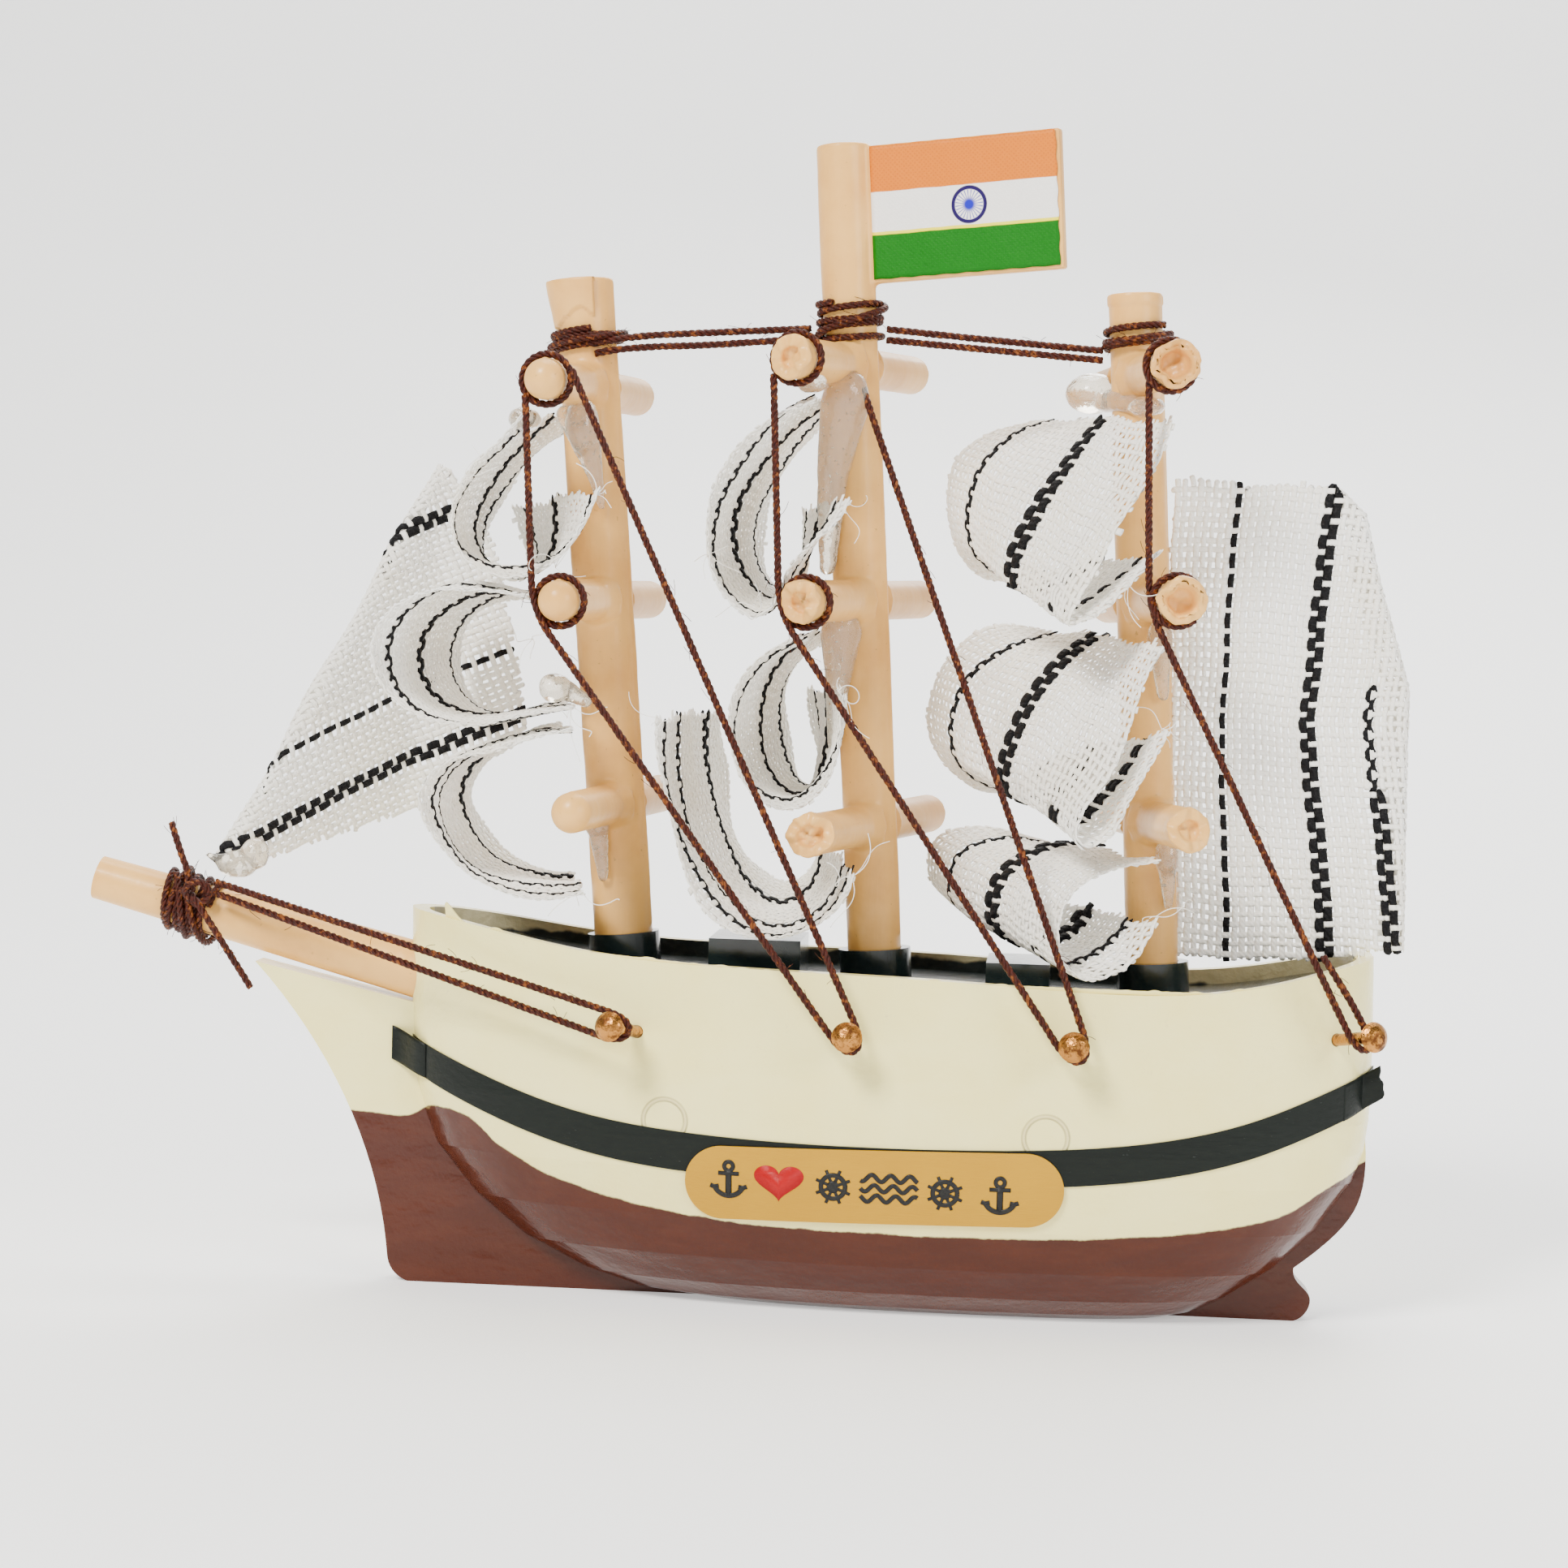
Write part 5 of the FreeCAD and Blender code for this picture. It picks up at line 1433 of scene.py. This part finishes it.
# ---------------------------------------------------------------- loose fibres
def loose_fibres():
    """Fine cotton fibres pulled out of the cut edges near the two forward masts."""
    rng = np.random.default_rng(7)
    starts = [("fore", (0.2, -11.8, 23.4)), ("fore", (3.4, -11.9, 40.2)), ("fore", (-0.5, -11.6, 34.6)),
              ("fore", (-7.5, -12.0, 42.4)), ("fore", (0.2, -11.9, 8.6)), ("fore", (-3.0, -11.0, 29.0)),
              ("main", (3.6, -11.9, 40.4)), ("main", (-4.2, -11.8, 31.8)), ("main", (2.6, -11.2, 24.6)),
              ("main", (-8.6, -11.8, 36.6)), ("main", (-13.2, -11.8, 23.2)), ("main", (2.8, -11.8, 10.4)),
              ("mizzen", (-3.6, -11.8, 34.6)), ("mizzen", (-1.2, -11.8, 22.8)), ("mizzen", (-1.6, -9.8, 7.8))]
    runs = []
    for mast, start in starts:
        base = on_mast(mast, [start])[0]
        for _ in range(4):
            reach = rng.uniform(1.6, 4.6)
            way = unit(rng.normal(0, 1, 3) + np.array((0.2, -0.5, -0.1)))
            curl = np.cross(way, unit(rng.normal(0, 1, 3)))
            t = np.linspace(0, 1, 26)[:, None]
            spin = rng.uniform(2.0, 6.0)
            sideways = curl * (0.5 * np.sin(t * spin)) * reach * 0.35
            upwards = np.cross(way, curl) * (1 - np.cos(t * spin)) * reach * 0.16
            runs.append((rng.uniform(0.022, 0.040), base + way * t * reach + sideways + upwards, 0))
    mesh = tubes(runs, [COTTON])
    mesh.uv_layers.new(name="cloth")
    set_places(mesh, places(mesh) * MM)
    mesh.shade_smooth()
    keep_piece(mesh, "loose_fibres", [], ())


loose_fibres()

# ---------------------------------------------------------------- finishes of the solids that stay
for name, side in (("hull_port_half", -1), ("hull_starboard_half", 1)):
    paint_node(name, HULL, INSIDE)
    for face in bpy.data.objects[name].data.polygons:
        middle = face.center / MM
        inner = middle.z > 24.5 and abs(middle.y) > 1.2 and face.normal.y * side < -0.15
        face.material_index = int(inner)
for name, material in (("deck", BLACK), ("port_stripe", TAPE), ("starboard_stripe", TAPE), ("bowsprit", PEACH),
                       ("brass_pins", BRASS), ("name_plate", GOLD)):
    paint_node(name, material)
